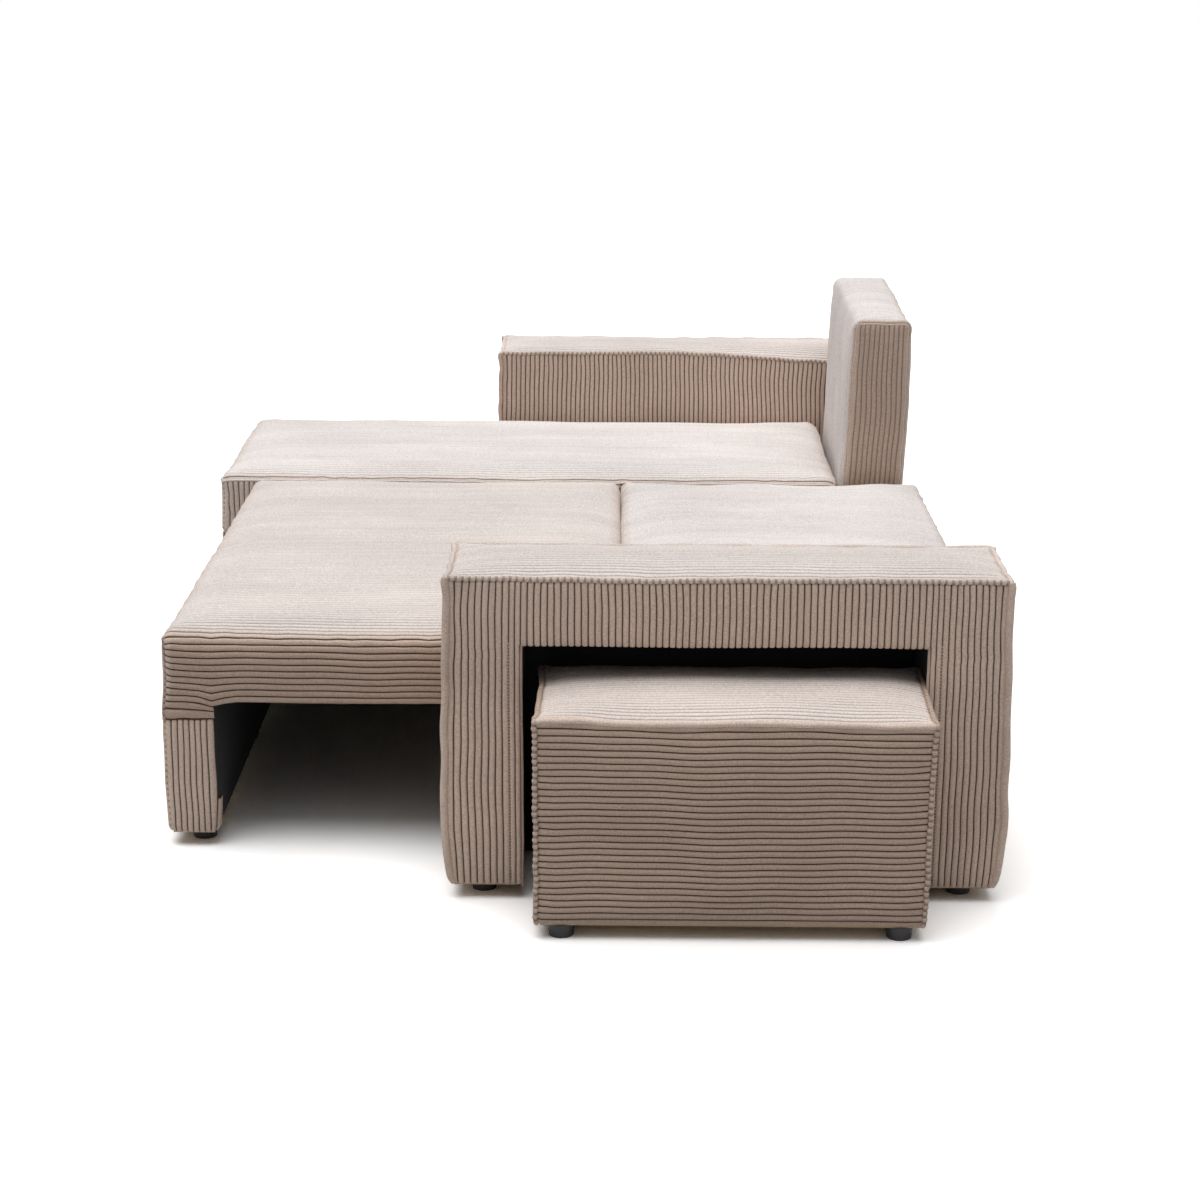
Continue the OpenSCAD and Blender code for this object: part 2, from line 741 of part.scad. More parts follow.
module sofa_feet() color(black) {
  for (x = [x_far_in + foot_inset, x_chaise - foot_inset])
    for (y = [y_chaise + foot_inset, (y_chaise + y_rear) / 2, y_rear - foot_inset])
      foot(x, y);
  for (y = [y_arm + foot_inset, y_arm_rear - foot_inset]) {
    foot(x_far_out + foot_inset, y);
    foot(x_near_out - foot_inset, y);
    foot(x_near_in + foot_inset, y);
  }
  for (x = [x_chaise + foot_r, x_near_in - foot_r])
    for (y = [y_base + foot_inset, y_rear - foot_inset])
      foot(x, y);
}

// Bolts that hold the modules together, with their heads inside
module module_bolts() color(steel) {
  side_end = far_panel_x[0] - nut_t - nut_t / 2;
  side_bolts(bolt_r, [side_end, chaise_in_x[0]]);
  side_bolts(bolt_head_r, [chaise_in_x[0], chaise_in_x[0] + bolt_head_t]);
  far_end = chaise_in_x[1] - nut_t - nut_t / 2;
  beam_bolts(bolt_r, [far_end, x_chaise + beam_w]);
  beam_bolts(bolt_head_r, [x_chaise + beam_w, x_chaise + beam_w + bolt_head_t]);
  near_end = near_panel_x[1] + nut_t + nut_t / 2;
  beam_bolts(bolt_r, [x_near_in - beam_w, near_end]);
  beam_bolts(bolt_head_r, [x_near_in - beam_w - bolt_head_t, x_near_in - beam_w]);
}

module nut(x, y, z)
  translate([x, y, z])
    rotate([0, 90, 0])
      difference() {
        cylinder(h = nut_t, r = bolt_head_r, $fn = nut_sides);
        translate([0, 0, -cut])
          cylinder(h = nut_t + 2 * cut, r = bolt_r + pin_gap, $fn = fine_fn);
      }

module module_nuts() color(steel) {
  for (y = side_bolt_y)
    nut(far_panel_x[0] - nut_t, y, side_bolt_z);
  for (y = beam_bolt_y) {
    nut(chaise_in_x[1] - nut_t, y, beam_bolt_z);
    nut(near_panel_x[1], y, beam_bolt_z);
  }
}

// The seat's frame: two side rails, three cross rails and the slats on them
seat_frame_x = [x_seat_far + frame_pad, x_seat_near - frame_pad];
seat_frame_y = [y_seat + frame_pad, y_split - frame_pad];
guide_bolt_zs = [z_seat + bolt_rise, z_seat + frame_h - bolt_rise];

module guide_holes(r, x) {
  for (z = guide_bolt_zs)
    bar(x, y_split - bolt_lap, z, r);
}

module seat_side_rails() color(wood)
  both_ends()
    difference() {
      span([seat_frame_x[1] - rail_w, seat_frame_x[1]], seat_frame_y, [z_seat, z_seat + frame_h]);
      guide_holes(bolt_r + bolt_gap, [seat_frame_x[1] - rail_w - cut, seat_frame_x[1] + cut]);
    }

module cross_rails(x, y, z)
  for (k = [0, 0.5, 1])
    span(x, [y[0] + k * (y[1] - y[0] - rail_w), y[0] + k * (y[1] - y[0] - rail_w) + rail_w], z);

module slats(x, y, z)
  for (k = [0:slat_count - 1]) {
    pitch = (x[1] - x[0]) / slat_count;
    mid = x[0] + (k + 0.5) * pitch;
    span([mid - slat_w / 2, mid + slat_w / 2], y, z);
  }

module seat_cross_rails() color(wood)
  cross_rails([seat_frame_x[0] + rail_w, seat_frame_x[1] - rail_w], seat_frame_y,
    [z_seat, z_seat + frame_h - slat_t]);

module seat_slats() color(wood)
  slats([seat_frame_x[0] + rail_w, seat_frame_x[1] - rail_w], seat_frame_y,
    [z_seat + frame_h - slat_t, z_seat + frame_h]);

module seat_cushion() color(cord_top)
  difference() {
    translate([x_bed_mid, (y_seat + y_split) / 2, z_seat])
      pillow(seat_w, seat_l, seat_t, edge_r, crown_h);
    span(seat_frame_x, seat_frame_y, [z_seat - cut, z_seat + frame_h]);
    both_ends()
      guide_holes(bolt_r + hole_extra, [seat_frame_x[1] - cut, x_seat_near + cut]);
  }

module seat_lining() color(black)
  span(seat_frame_x, [y_seat + front_board_t, seat_frame_y[1]], [z_seat - cloth_t, z_seat]);

// The upright board under the front of the seat, with its own feet
front_x = [x_seat_far + skin_t, x_seat_near - skin_t];
front_y = [y_seat + skin_t, y_seat + front_board_t - skin_t];

module front_board_frame() color(wood) {
  back_y = [front_y[0] + board_t + rest_gap, front_y[1]];
  posts = [front_x[0], x_bed_mid - front_post_w / 2, front_x[1] - front_post_w];
  span(front_x, [front_y[0], front_y[0] + board_t], [foot_h, z_seat]);
  for (x = posts)
    span([x, x + front_post_w], back_y, [foot_h, z_seat]);
  for (z = [foot_h, z_seat - front_post_w])
    for (k = [0, 1])
      span([posts[k] + front_post_w + rest_gap, posts[k + 1] - rest_gap], back_y, [z, z + front_post_w]);
}

module front_board_cover() color(cord)
  sleeve([x_seat_far, x_seat_near], [y_seat, y_seat + front_board_t], [foot_h, z_seat], skin_t);

module front_feet() color(black)
  for (x = [x_seat_far + front_foot_x, x_bed_mid, x_seat_near - front_foot_x])
    foot(x, y_seat + front_foot_y);

// Guide plates on the ends of the seat: they carry the rear rollers and hold the panel's slide blocks
slot_y = [y_pivot - block_w / 2 - slide_gap, y_pivot + block_w / 2 + slide_gap];
slot_z = [z_pivot - block_drop - block_h / 2 - slot_end, z_pivot + block_h / 2 + slot_end];
plate_x = [x_seat_near, x_seat_near + plate_t];

module guide_plates() color(steel)
  both_ends()
    difference() {
      union() {
        span(plate_x, [y_split - plate_lap, slot_y[1] + slot_wall],
          [slot_z[0] - slot_wall, slot_z[1] + slot_wall]);
        span(plate_x, [y_split - plate_front, slot_y[0] - slot_wall],
          [z_axle - plate_axle_edge, z_axle + plate_foot_h]);
      }
      span([plate_x[0] - cut, plate_x[1] + cut], slot_y, slot_z);
      guide_holes(bolt_r + bolt_gap, [plate_x[0] - cut, plate_x[1] + cut]);
      bar([plate_x[0] - cut, plate_x[1] + cut], y_axle, z_axle, axle_r + pin_gap);
    }

module guide_bolts() color(steel)
  both_ends() {
    guide_holes(bolt_r, [seat_frame_x[1] - rail_w, plate_x[1]]);
    guide_holes(bolt_head_r, [plate_x[1], plate_x[1] + bolt_head_t]);
  }

module roller_axles() color(steel)
  both_ends() {
    bar([roller_x[0] - plate_t / 2, plate_x[1]], y_axle, z_axle, axle_r);
    bar([plate_x[1], plate_x[1] + bolt_head_t], y_axle, z_axle, bolt_head_r);
  }

module rear_rollers() color(black)
  both_ends()
    difference() {
      bar(roller_x, y_axle, z_axle, roller_r);
      bar([roller_x[0] - cut, roller_x[1] + cut], y_axle, z_axle, axle_r + pin_gap);
    }

// Slide blocks, which run down the slots and turn on the panel's pins
module slide_blocks() color(black)
  both_ends() {
    lip_y = [y_pivot - block_w / 2 - block_lip, y_pivot + block_w / 2 + block_lip];
    lip_z = [z_pivot - block_h / 2, z_pivot + block_h / 2];
    difference() {
      union() {
        span([plate_x[0] - rest_gap - lip_t, plate_x[1] + rest_gap + lip_t],
          [y_pivot - block_w / 2, y_pivot + block_w / 2], lip_z);
        span([plate_x[0] - rest_gap - lip_t, plate_x[0] - rest_gap], lip_y, lip_z);
        span([plate_x[1] + rest_gap, plate_x[1] + rest_gap + lip_t], lip_y, lip_z);
      }
      bar([plate_x[0] - side_gap, plate_x[1] + side_gap], y_pivot, z_pivot, pivot_r + pin_gap);
    }
  }

// The back panel: rails and slats in its cushion, and a steel plate with a pin at each end
panel_x = [x_seat_far + panel_side_gap, x_seat_near - panel_side_gap];
panel_frame_x = [panel_x[0] + panel_pad, panel_x[1] - panel_pad];
panel_frame_y = [y_panel + frame_pad, y_panel_rear - frame_pad];
pivot_plate_x = [panel_frame_x[1], panel_frame_x[1] + plate_t];
pivot_plate_y = [panel_frame_y[0], panel_frame_y[0] + pivot_plate_w];

module panel_rails() color(wood) {
  for (x = [panel_frame_x[0], panel_frame_x[1] - rail_w])
    span([x, x + rail_w], panel_frame_y, [z_panel, z_panel + panel_frame_h]);
  for (y = [panel_frame_y[0], (panel_frame_y[0] + panel_frame_y[1] - rail_w) / 2, panel_frame_y[1] - rail_w])
    span([panel_frame_x[0] + rail_w + rest_gap, panel_frame_x[1] - rail_w - rest_gap], [y, y + rail_w],
      [z_panel, z_panel + panel_frame_h - slat_t]);
}

module panel_slats() color(wood)
  slats([panel_frame_x[0] + rail_w, panel_frame_x[1] - rail_w], panel_frame_y,
    [z_panel + panel_frame_h - slat_t, z_panel + panel_frame_h]);

module panel_cushion() color(cord_top)
  difference() {
    translate([x_bed_mid, (y_panel + y_panel_rear) / 2, z_panel])
      pillow(panel_w, panel_l, panel_t, edge_r, crown_h);
    span(panel_frame_x, panel_frame_y, [z_panel - cut, z_panel + panel_frame_h]);
    both_ends() {
      span([pivot_plate_x[0] - cut, pivot_plate_x[1] + slide_gap],
        [pivot_plate_y[0] - slide_gap, pivot_plate_y[1] + slide_gap],
        [z_panel - cut, z_pivot + pivot_plate_top + slide_gap]);
      bar([pivot_plate_x[0], panel_x[1] + cut], y_pivot, z_pivot, pivot_r + pivot_pad_gap);
    }
  }

module panel_lining() color(black)
  span(panel_frame_x, panel_frame_y, [z_panel - cloth_t, z_panel]);

module pivot_plates() color(steel)
  both_ends() {
    span(pivot_plate_x, pivot_plate_y, [z_panel + plate_t, z_pivot + pivot_plate_top]);
    bar([pivot_plate_x[1] - cut, plate_x[1] + rest_gap], y_pivot, z_pivot, pivot_r);
  }

// The pouf: walls, partitions, a floor and a top board as one box, in its cover
pouf_x = [x_pouf_in + skin_t, x_pouf_out - skin_t];
pouf_y = [y_pouf + skin_t, y_pouf_rear - skin_t];

module pouf_boards() color(wood)
  difference() {
    span(pouf_x, pouf_y, [foot_h, z_pouf]);
    cell_step = (pouf_y[1] - pouf_y[0] - board_t) / pouf_cells;
    for (k = [0:pouf_cells - 1])
      span([pouf_x[0] + board_t, pouf_x[1] - board_t],
        [pouf_y[0] + board_t + k * cell_step, pouf_y[0] + (k + 1) * cell_step],
        [foot_h + board_t, z_pouf - board_t]);
  }

module pouf_cover() color(cord)
  sleeve([x_pouf_in, x_pouf_out], [y_pouf, y_pouf_rear], [foot_h, z_pouf], skin_t);

module pouf_cushion() color(cord_top)
  translate([(x_pouf_in + x_pouf_out) / 2, (y_pouf + y_pouf_rear) / 2, z_pouf])
    pillow(pouf_d, pouf_w, pouf_cushion_t, pouf_edge_r, pouf_crown, br = 0, pull = pull_in / 2, draw = 0);

module pouf_feet() color(black)
  for (x = [x_pouf_in + pouf_foot_front, x_pouf_out - pouf_foot_front])
    for (y = [y_pouf + pouf_foot_side, y_pouf_rear - pouf_foot_side])
      foot(x, y);

chaise_side_near();
chaise_side_far();
chaise_front_board();
chaise_rear_board();
chaise_cross_rail();
chaise_bottom();
chaise_cover();
backrest_frame();
backrest_board();
backrest_cushion();
lid_board();
lid_cushion();
lid_hinge_leaves();
lid_hinge_straps();
lid_hinge_pins();
strut_studs();
strut_tubes();
strut_rods();
strut_brackets();
base_bottom();
base_side_beams();
base_front_wall();
base_rear_board();
base_rear_cover();
roller_rails();
arm_near_panel();
arm_near_legs();
arm_near_beam();
arm_near_cover();
arm_near_top_pad();
niche_lining();
arm_far_panel();
arm_far_frame();
arm_far_cover();
arm_far_top_pad();
sofa_feet();
module_bolts();
module_nuts();
seat_side_rails();
seat_cross_rails();
seat_slats();
seat_cushion();
seat_lining();
front_board_frame();
front_board_cover();
front_feet();
guide_plates();
guide_bolts();
roller_axles();
rear_rollers();
slide_blocks();
panel_rails();
panel_slats();
panel_cushion();
panel_lining();
pivot_plates();
pouf_boards();
pouf_cover();
pouf_cushion();
pouf_feet();
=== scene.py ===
"""Dresses the frame of a corner sofa bed: cord cushions and covers, flanged seams, boards, steel and a studio."""

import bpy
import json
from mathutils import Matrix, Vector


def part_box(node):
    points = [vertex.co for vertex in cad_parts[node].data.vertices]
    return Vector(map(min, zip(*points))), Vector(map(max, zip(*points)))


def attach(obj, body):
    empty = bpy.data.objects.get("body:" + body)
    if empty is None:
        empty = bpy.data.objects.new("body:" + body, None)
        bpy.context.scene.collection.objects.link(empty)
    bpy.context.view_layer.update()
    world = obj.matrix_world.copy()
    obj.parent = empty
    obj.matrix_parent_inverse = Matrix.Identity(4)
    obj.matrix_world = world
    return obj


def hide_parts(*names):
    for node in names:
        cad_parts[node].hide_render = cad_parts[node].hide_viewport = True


bl_info = {
    "name": "Corner Sofa Bed",
    "version": (1, 0, 0),
    "blender": (4, 5, 0),
    "location": "View3D > Sidebar > Sofa Bed",
    "description": "Dresses the frame of a corner sofa bed in wide-rib cord",
    "category": "Object",
}

import json
import math

import bpy
import numpy as np
from bpy.props import FloatProperty, FloatVectorProperty, IntProperty, PointerProperty
from mathutils import Matrix

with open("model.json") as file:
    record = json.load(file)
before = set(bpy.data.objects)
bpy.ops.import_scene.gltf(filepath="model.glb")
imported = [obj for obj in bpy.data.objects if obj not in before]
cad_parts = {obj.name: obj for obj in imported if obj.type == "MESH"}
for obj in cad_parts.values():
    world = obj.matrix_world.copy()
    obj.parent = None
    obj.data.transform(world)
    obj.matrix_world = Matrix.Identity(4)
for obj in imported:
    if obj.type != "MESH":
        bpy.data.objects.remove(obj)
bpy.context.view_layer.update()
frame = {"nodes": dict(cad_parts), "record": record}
X, Y, Z = AXES = 0, 1, 2
TOP, BOTTOM = (Z, 1), (Z, -1)
NEAR, FAR = (X, 1), (X, -1)
FRONT, REAR = (Y, -1), (Y, 1)


# ---- sizes and colours that a user would change ----
class SofaCordSettings(bpy.types.PropertyGroup):
    rib_pitch: FloatProperty(
        name="Rib pitch", description="Distance between two ribs of the cord", default=0.0118, unit="LENGTH"
    )
    rib_height: FloatProperty(
        name="Rib height", description="Height of a rib over its groove", default=0.0034, unit="LENGTH"
    )
    rib_steps: IntProperty(name="Rib steps", description="Mesh steps across one rib", default=8, min=4, max=12)
    row_step: FloatProperty(name="Row step", description="Mesh step along the ribs", default=0.024, unit="LENGTH")
    wobble: FloatProperty(
        name="Wobble", description="How far a rib strays sideways from its line", default=0.0013, unit="LENGTH"
    )
    pucker: FloatProperty(
        name="Pucker", description="Depth of the small gathers beside a seam", default=0.0009, unit="LENGTH"
    )
    sway: FloatProperty(
        name="Sway", description="How far seams and faces stray from straight", default=0.0018, unit="LENGTH"
    )
    flange: FloatProperty(
        name="Flange", description="Radius of the raised seam where two panels meet", default=0.0046, unit="LENGTH"
    )
    # Colour of the ribs with painted light, as on the lit tops.
    lit_pile: FloatVectorProperty(
        name="Lit pile",
        description="Colour of the ribs, seen with the pile",
        default=(0.905, 0.855, 0.835),
        subtype="COLOR",
    )
    # Colour of the ribs with half the painted light, as on upright faces.
    half_lit_pile: FloatVectorProperty(
        name="Half-lit pile",
        description="Colour of the ribs on upright faces",
        default=(0.73, 0.575, 0.480),
        subtype="COLOR",
    )
    # Colour of the ribs in painted shade, as on faces whose ribs run across them.
    shaded: FloatVectorProperty(
        name="Shaded pile",
        description="Colour of the ribs, seen against the pile",
        default=(0.52, 0.392, 0.318),
        subtype="COLOR",
    )
    # Colour of the grooves: painted shade that falls between the ribs.
    groove_shade: FloatVectorProperty(
        name="Groove shade", description="Colour of the grooves", default=(0.082, 0.044, 0.026), subtype="COLOR"
    )
    # Also the colour of the black cloth that stands in for the deep shade in the niche and behind the front board.
    lining: FloatVectorProperty(
        name="Lining",
        description="Colour of the dust covers and linings",
        default=(0.012, 0.012, 0.013),
        subtype="COLOR",
    )


class SofaFillingSettings(bpy.types.PropertyGroup):
    pressure: FloatProperty(name="Pressure", description="Pressure that swells the cushions", default=4.0)
    frames: IntProperty(name="Frames", description="Frames that the swelling runs for", default=20)
    cell: FloatProperty(name="Cell", description="Mesh step of the swelling", default=0.022, unit="LENGTH")
    top_rise: FloatProperty(
        name="Top rise", description="Most that a cushion's top swells", default=0.009, unit="LENGTH"
    )
    side_rise: FloatProperty(
        name="Side rise", description="Most that a cushion's side swells", default=0.003, unit="LENGTH"
    )
    fill: FloatProperty(name="Fill", description="How tightly the cushions are filled", default=0.8, min=0, max=1)


class SofaStageSettings(bpy.types.PropertyGroup):
    eye: FloatVectorProperty(
        name="Eye", description="Where the camera stands", default=(5.4476, 0.0993, 1.7642), subtype="XYZ"
    )
    yaw: FloatProperty(name="Yaw", description="Turn of the camera to the left", default=0.2488)
    pitch: FloatProperty(name="Pitch", description="How far the camera looks down", default=15.6103)
    roll: FloatProperty(name="Roll", description="Roll of the camera", default=0.3616)
    lens: FloatProperty(name="Lens", description="Focal length for a 36 mm sensor", default=76.62)
    floor_level: FloatProperty(name="Floor level", description="How white the lit floor looks", default=1.42)
    sky: FloatProperty(name="Sky", description="Level of the even light from all sides", default=0.03)
    dome: FloatProperty(name="Dome", description="Light that is added towards the top of the sky", default=1.1)
    bounce: FloatProperty(name="Bounce", description="How much light the floor throws back up", default=0.60)
    key: FloatProperty(name="Key", description="Strength of the soft main light", default=1.9)


# ---- rounded box forms ----
# painted light and shade: how lit a face's colour is painted, 1 is the lit pile colour, 0 the shaded one
PAINTED_LIGHT_BRIGHT, PAINTED_LIGHT_TOP, PAINTED_LIGHT_UPRIGHT, PAINTED_LIGHT_ACROSS = 0.93, 0.82, 0.35, 0.0
FOOT_REACH = 0.08  # height over which an edge's radius changes to the foot's
BULGE_HEIGHT = 0.12  # height at which the lower part of a side stands out most
BULGE_POWER = 9  # how closely the bulge keeps to the sides
EAR_SIZE, EAR_OUT, EAR_RISE = 0.019, 0.7, 0.25  # reach of an ear at a corner, its share outwards and upwards
SEAM_BAND = 0.03  # width beside an edge that puckers
LONG_WAVE, SHORT_WAVE, WAVES = 0.36, 0.045, 4
STILL_HEIGHT, STILL_FADE, STILL_SHARE = 0.02, 0.08, 0.25  # where waves fade towards the floor, and to what share
SLIGHT, TINY = 1e-6, 1e-9


def shaped(low, high, keep=1, **changes):
    """Corners moved by distances such as high_z, or set to such values where keep is 0."""
    low, high = np.array(low, float), np.array(high, float)
    for key, value in changes.items():
        side, letter = key.split("_")
        corner, axis = low if side == "low" else high, "xyz".index(letter)
        corner[axis] = keep * corner[axis] + value
    return low, high


def eased(amount, t):
    """An amount that comes in softly as t goes from 0 to 1."""
    return amount * t * t * (3 - 2 * t)


class Form:
    """A box with rounded edges. Points on it are named by their place on the sharp box."""

    def __init__(self, low, high, radii, crown=0.0, seed=1, sway=None, pucker=None, foot=None, ears=0.0):
        cord = bpy.context.scene.sofa_cord
        self.low, self.high = np.array(low, float), np.array(high, float)
        self.mid, self.half = (self.low + self.high) / 2, (self.high - self.low) / 2
        self.radii = np.array(radii, float)
        self.foot = self.radii.min() if foot is None else foot
        self.flat = self.half - self.radii
        self.crown, self.seed, self.ears = crown, seed, ears
        self.sway = cord.sway if sway is None else sway
        self.pucker = cord.pucker if pucker is None else pucker
        self.swell = {}  # swelling of each face
        self.lean = (0.0, 0.0)  # shift in Y from the foot to the top, and from the far end to the near one
        self.cut = None  # moves points, before waves and crown are added
        self.under = None  # height that nothing goes below
        self.bulge = 0.0  # how far the front and rear stand out above the foot
        self.painted_lights = (PAINTED_LIGHT_UPRIGHT, PAINTED_LIGHT_UPRIGHT, PAINTED_LIGHT_TOP)  # how lit the colours of the faces across X, Y and Z are painted
        self.rear_painted_light = None  # the same for the rear, where it differs from the front

    def length_at(self, axis, value):
        """Distance along the skin from the middle, for a place on the sharp box."""
        v = value - self.mid[axis]
        over = np.clip(np.abs(v) - self.flat[axis], 0, None) / self.radii[axis]
        return np.sign(v) * (np.minimum(np.abs(v), self.flat[axis]) + self.radii[axis] * np.arctan(over))

    def at_length(self, axis, length):
        """The place on the sharp box, for a distance along the skin."""
        over = np.clip((np.abs(length) - self.flat[axis]) / self.radii[axis], 0, math.pi / 4)
        reach = np.minimum(np.abs(length), self.flat[axis]) + self.radii[axis] * np.tan(over)
        return self.mid[axis] + np.sign(length) * reach

    def rounding(self, q):
        """Radii of the edges at a place. Towards the floor they change to the foot's radius."""
        t = np.clip((q[..., Z] - self.low[Z]) / FOOT_REACH, 0, 1)[..., None]
        r = self.foot + eased(self.radii - self.foot, t)
        r[..., Z] = np.where(q[..., Z] < self.mid[Z], self.foot, self.radii[Z])
        return r

    def core_and_normal(self, q):
        """The rounded box's point for a place, from the middle, and the way out of it."""
        v, r = q - self.mid, self.rounding(q)
        core = np.clip(v, r - self.half, self.half - r)
        d = (v - core) / r
        n = d / np.maximum(np.linalg.norm(d, axis=-1, keepdims=True), TINY)
        return core + r * n, n / r

    def normal(self, q):
        n = self.core_and_normal(q)[1]
        return n / np.linalg.norm(n, axis=-1, keepdims=True)

    def place(self, q, face=None, out=0.0):
        """Where a point of the sharp box lies on the finished form, moved out by a distance."""
        v = q - self.mid
        p = self.mid + self.core_and_normal(q)[0]
        if self.cut is not None:
            p = self.cut(p)
        if out:
            p = p + out * self.normal(q)
        rel = v / self.half
        dome = np.clip(1 - rel[..., X] ** 4, 0, 1) * np.clip(1 - rel[..., Y] ** 4, 0, 1)
        p[..., Z] += self.crown * dome * np.clip(rel[..., Z], 0, 1)
        if self.ears:
            corner = self.half - v * np.sign(v * [1, 1, 0] + [0, 0, 1])
            pull = self.ears * np.exp(-(corner**2).sum(-1) / EAR_SIZE**2)[..., None]
            way = [np.sign(v[..., X]), np.sign(v[..., Y]), EAR_RISE + 0 * v[..., Z]]
            p = p + pull * np.stack(way, -1) * EAR_OUT
        p = p + self.ripple(q, self.sway, LONG_WAVE, self.seed)
        p = p + self.ripple(q, self.pucker, SHORT_WAVE, self.seed + 7) * self.edge_mask(q)[..., None]
        p[..., Y] += self.lean[0] * rel[..., Z] / 2 - self.lean[1] * rel[..., X] / 2
        if self.bulge:
            t = np.clip((q[..., Z] - self.low[Z]) / BULGE_HEIGHT, 0, 1)
            fade = np.clip((self.high[Z] - q[..., Z]) / (2 * self.half[Z] - BULGE_HEIGHT), 0, 1)
            p[..., Y] += eased(self.bulge, t) * fade * np.sign(rel[..., Y]) * np.abs(rel[..., Y]) ** BULGE_POWER
        if face in self.swell:
            p = p + self.swell_at(q, face)
        if self.under is not None:
            p[..., Z] = np.maximum(p[..., Z], self.under)
        return p

    def painted_light(self, q):
        """Painted light: how lit the colour is painted at a place, from the way the skin faces there."""
        share = np.abs(self.normal(q))
        share[..., Z] = np.where(q[..., Z] > self.mid[Z], share[..., Z] ** 2, 0)
        painted_lights = np.broadcast_to(np.array(self.painted_lights), q.shape).copy()
        if self.rear_painted_light is not None:
            painted_lights[..., Y] = np.where(q[..., Y] > self.mid[Y], self.rear_painted_light, painted_lights[..., Y])
        return (share * painted_lights).sum(-1) / np.maximum(share.sum(-1), TINY)

    def edge_mask(self, q):
        """1 along the edges, and nothing on the middle of a face."""
        gap = np.sort(self.half - np.abs(q - self.mid), axis=-1)
        return np.exp(-((gap[..., 1] / SEAM_BAND) ** 2))

    def ripple(self, q, amount, wave, seed):
        """A soft random wave, which fades towards the floor."""
        rng = np.random.default_rng(seed)
        total = np.zeros_like(q)
        for _ in range(WAVES):
            k = rng.normal(size=(3, 3))
            k *= (2 * math.pi / wave * rng.uniform(0.7, 1.5, 3) / np.linalg.norm(k, axis=1))[:, None]
            total += np.sin(q @ k.T + rng.uniform(0, 2 * math.pi, 3))
        floor_fade = np.clip((q[..., Z] - STILL_HEIGHT) / STILL_FADE, STILL_SHARE, 1)
        return amount * 0.5 * total * floor_fade[..., None]

    def nodes_along(self, axis, step):
        """Coarse stations across the sharp box, closer on the rounded edges."""
        arc = np.tan(np.linspace(0, math.pi / 4, 4))[1:] * self.radii[axis]
        count = max(2, int(math.ceil(2 * self.flat[axis] / step)))
        flat = np.linspace(-self.flat[axis], self.flat[axis], count + 1)
        return self.mid[axis] + np.concatenate([-self.flat[axis] - arc[::-1], flat, self.flat[axis] + arc])

    def swell_at(self, q, face):
        """The swelling at a place, between the coarse stations of a face."""
        a_nodes, b_nodes, moves = self.swell[face]
        a, b = [k for k in AXES if k != face[0]]
        i = np.interp(q[..., a], a_nodes, np.arange(len(a_nodes)))
        j = np.interp(q[..., b], b_nodes, np.arange(len(b_nodes)))
        i0, j0 = np.minimum(i.astype(int), len(a_nodes) - 2), np.minimum(j.astype(int), len(b_nodes) - 2)
        u, v = (i - i0)[..., None], (j - j0)[..., None]
        return (
            moves[i0, j0] * (1 - u) * (1 - v)
            + moves[i0 + 1, j0] * u * (1 - v)
            + moves[i0, j0 + 1] * (1 - u) * v
            + moves[i0 + 1, j0 + 1] * u * v
        )

    def fill(self, caps):
        """Swells the form as cloth under pressure, sewn down along its edges. caps: most rise of each face."""
        filling = bpy.context.scene.sofa_filling
        stations = [self.nodes_along(k, filling.cell) for k in AXES]
        points, faces, index, sewn, grids = [], [], {}, set(), {}
        for axis in AXES:
            a, b = [k for k in AXES if k != axis]
            for sign in (-1, 1):
                q = np.zeros((len(stations[a]), len(stations[b]), 3))
                q[..., a], q[..., b] = stations[a][:, None], stations[b][None, :]
                q[..., axis] = self.mid[axis] + sign * self.half[axis]
                placed = self.place(q)
                ids = np.zeros(q.shape[:2], int)
                for i, j in np.ndindex(*ids.shape):
                    key = tuple(np.round(q[i, j] * 1e5).astype(int))
                    if key not in index:
                        index[key] = len(points)
                        points.append(placed[i, j])
                    ids[i, j] = index[key]
                edge = np.concatenate([ids[0], ids[-1], ids[:, 0], ids[:, -1]])
                sewn.update(edge.tolist() if (axis, sign) in caps else ids.ravel().tolist())
                faces.extend(grid_faces(ids, outward_flip(placed, axis, sign)).tolist())
                grids[(axis, sign)] = ids
        moves = swell_cloth(np.array(points), faces, sorted(sewn), filling)
        for face, cap in caps.items():
            a, b = [k for k in AXES if k != face[0]]
            m = moves[grids[face]]
            size = np.linalg.norm(m, axis=-1, keepdims=True)
            self.swell[face] = (stations[a], stations[b], m * cap * np.tanh(size / cap) / np.maximum(size, TINY))


def grid_faces(ids, flip):
    """Four-sided faces between the points of a grid."""
    quads = np.stack([ids[:-1, :-1], ids[1:, :-1], ids[1:, 1:], ids[:-1, 1:]], -1).reshape(-1, 4)
    return quads[:, ::-1] if flip else quads


def outward_flip(grid, axis, sign):
    """Whether the faces of a grid have to be turned to point out of the form."""
    i, j = max(grid.shape[0] // 2, 1), max(grid.shape[1] // 2, 1)
    n = np.cross(grid[i, j] - grid[i - 1, j], grid[i, j] - grid[i, j - 1])
    return n[axis] * sign < 0


CLOTH_SETTINGS = {
    "quality": 5,
    "mass": 0.3,
    "tension_stiffness": 18,
    "compression_stiffness": 18,
    "bending_stiffness": 1.5,
    "vertex_group_mass": "sewn",
    "use_pressure": True,
}


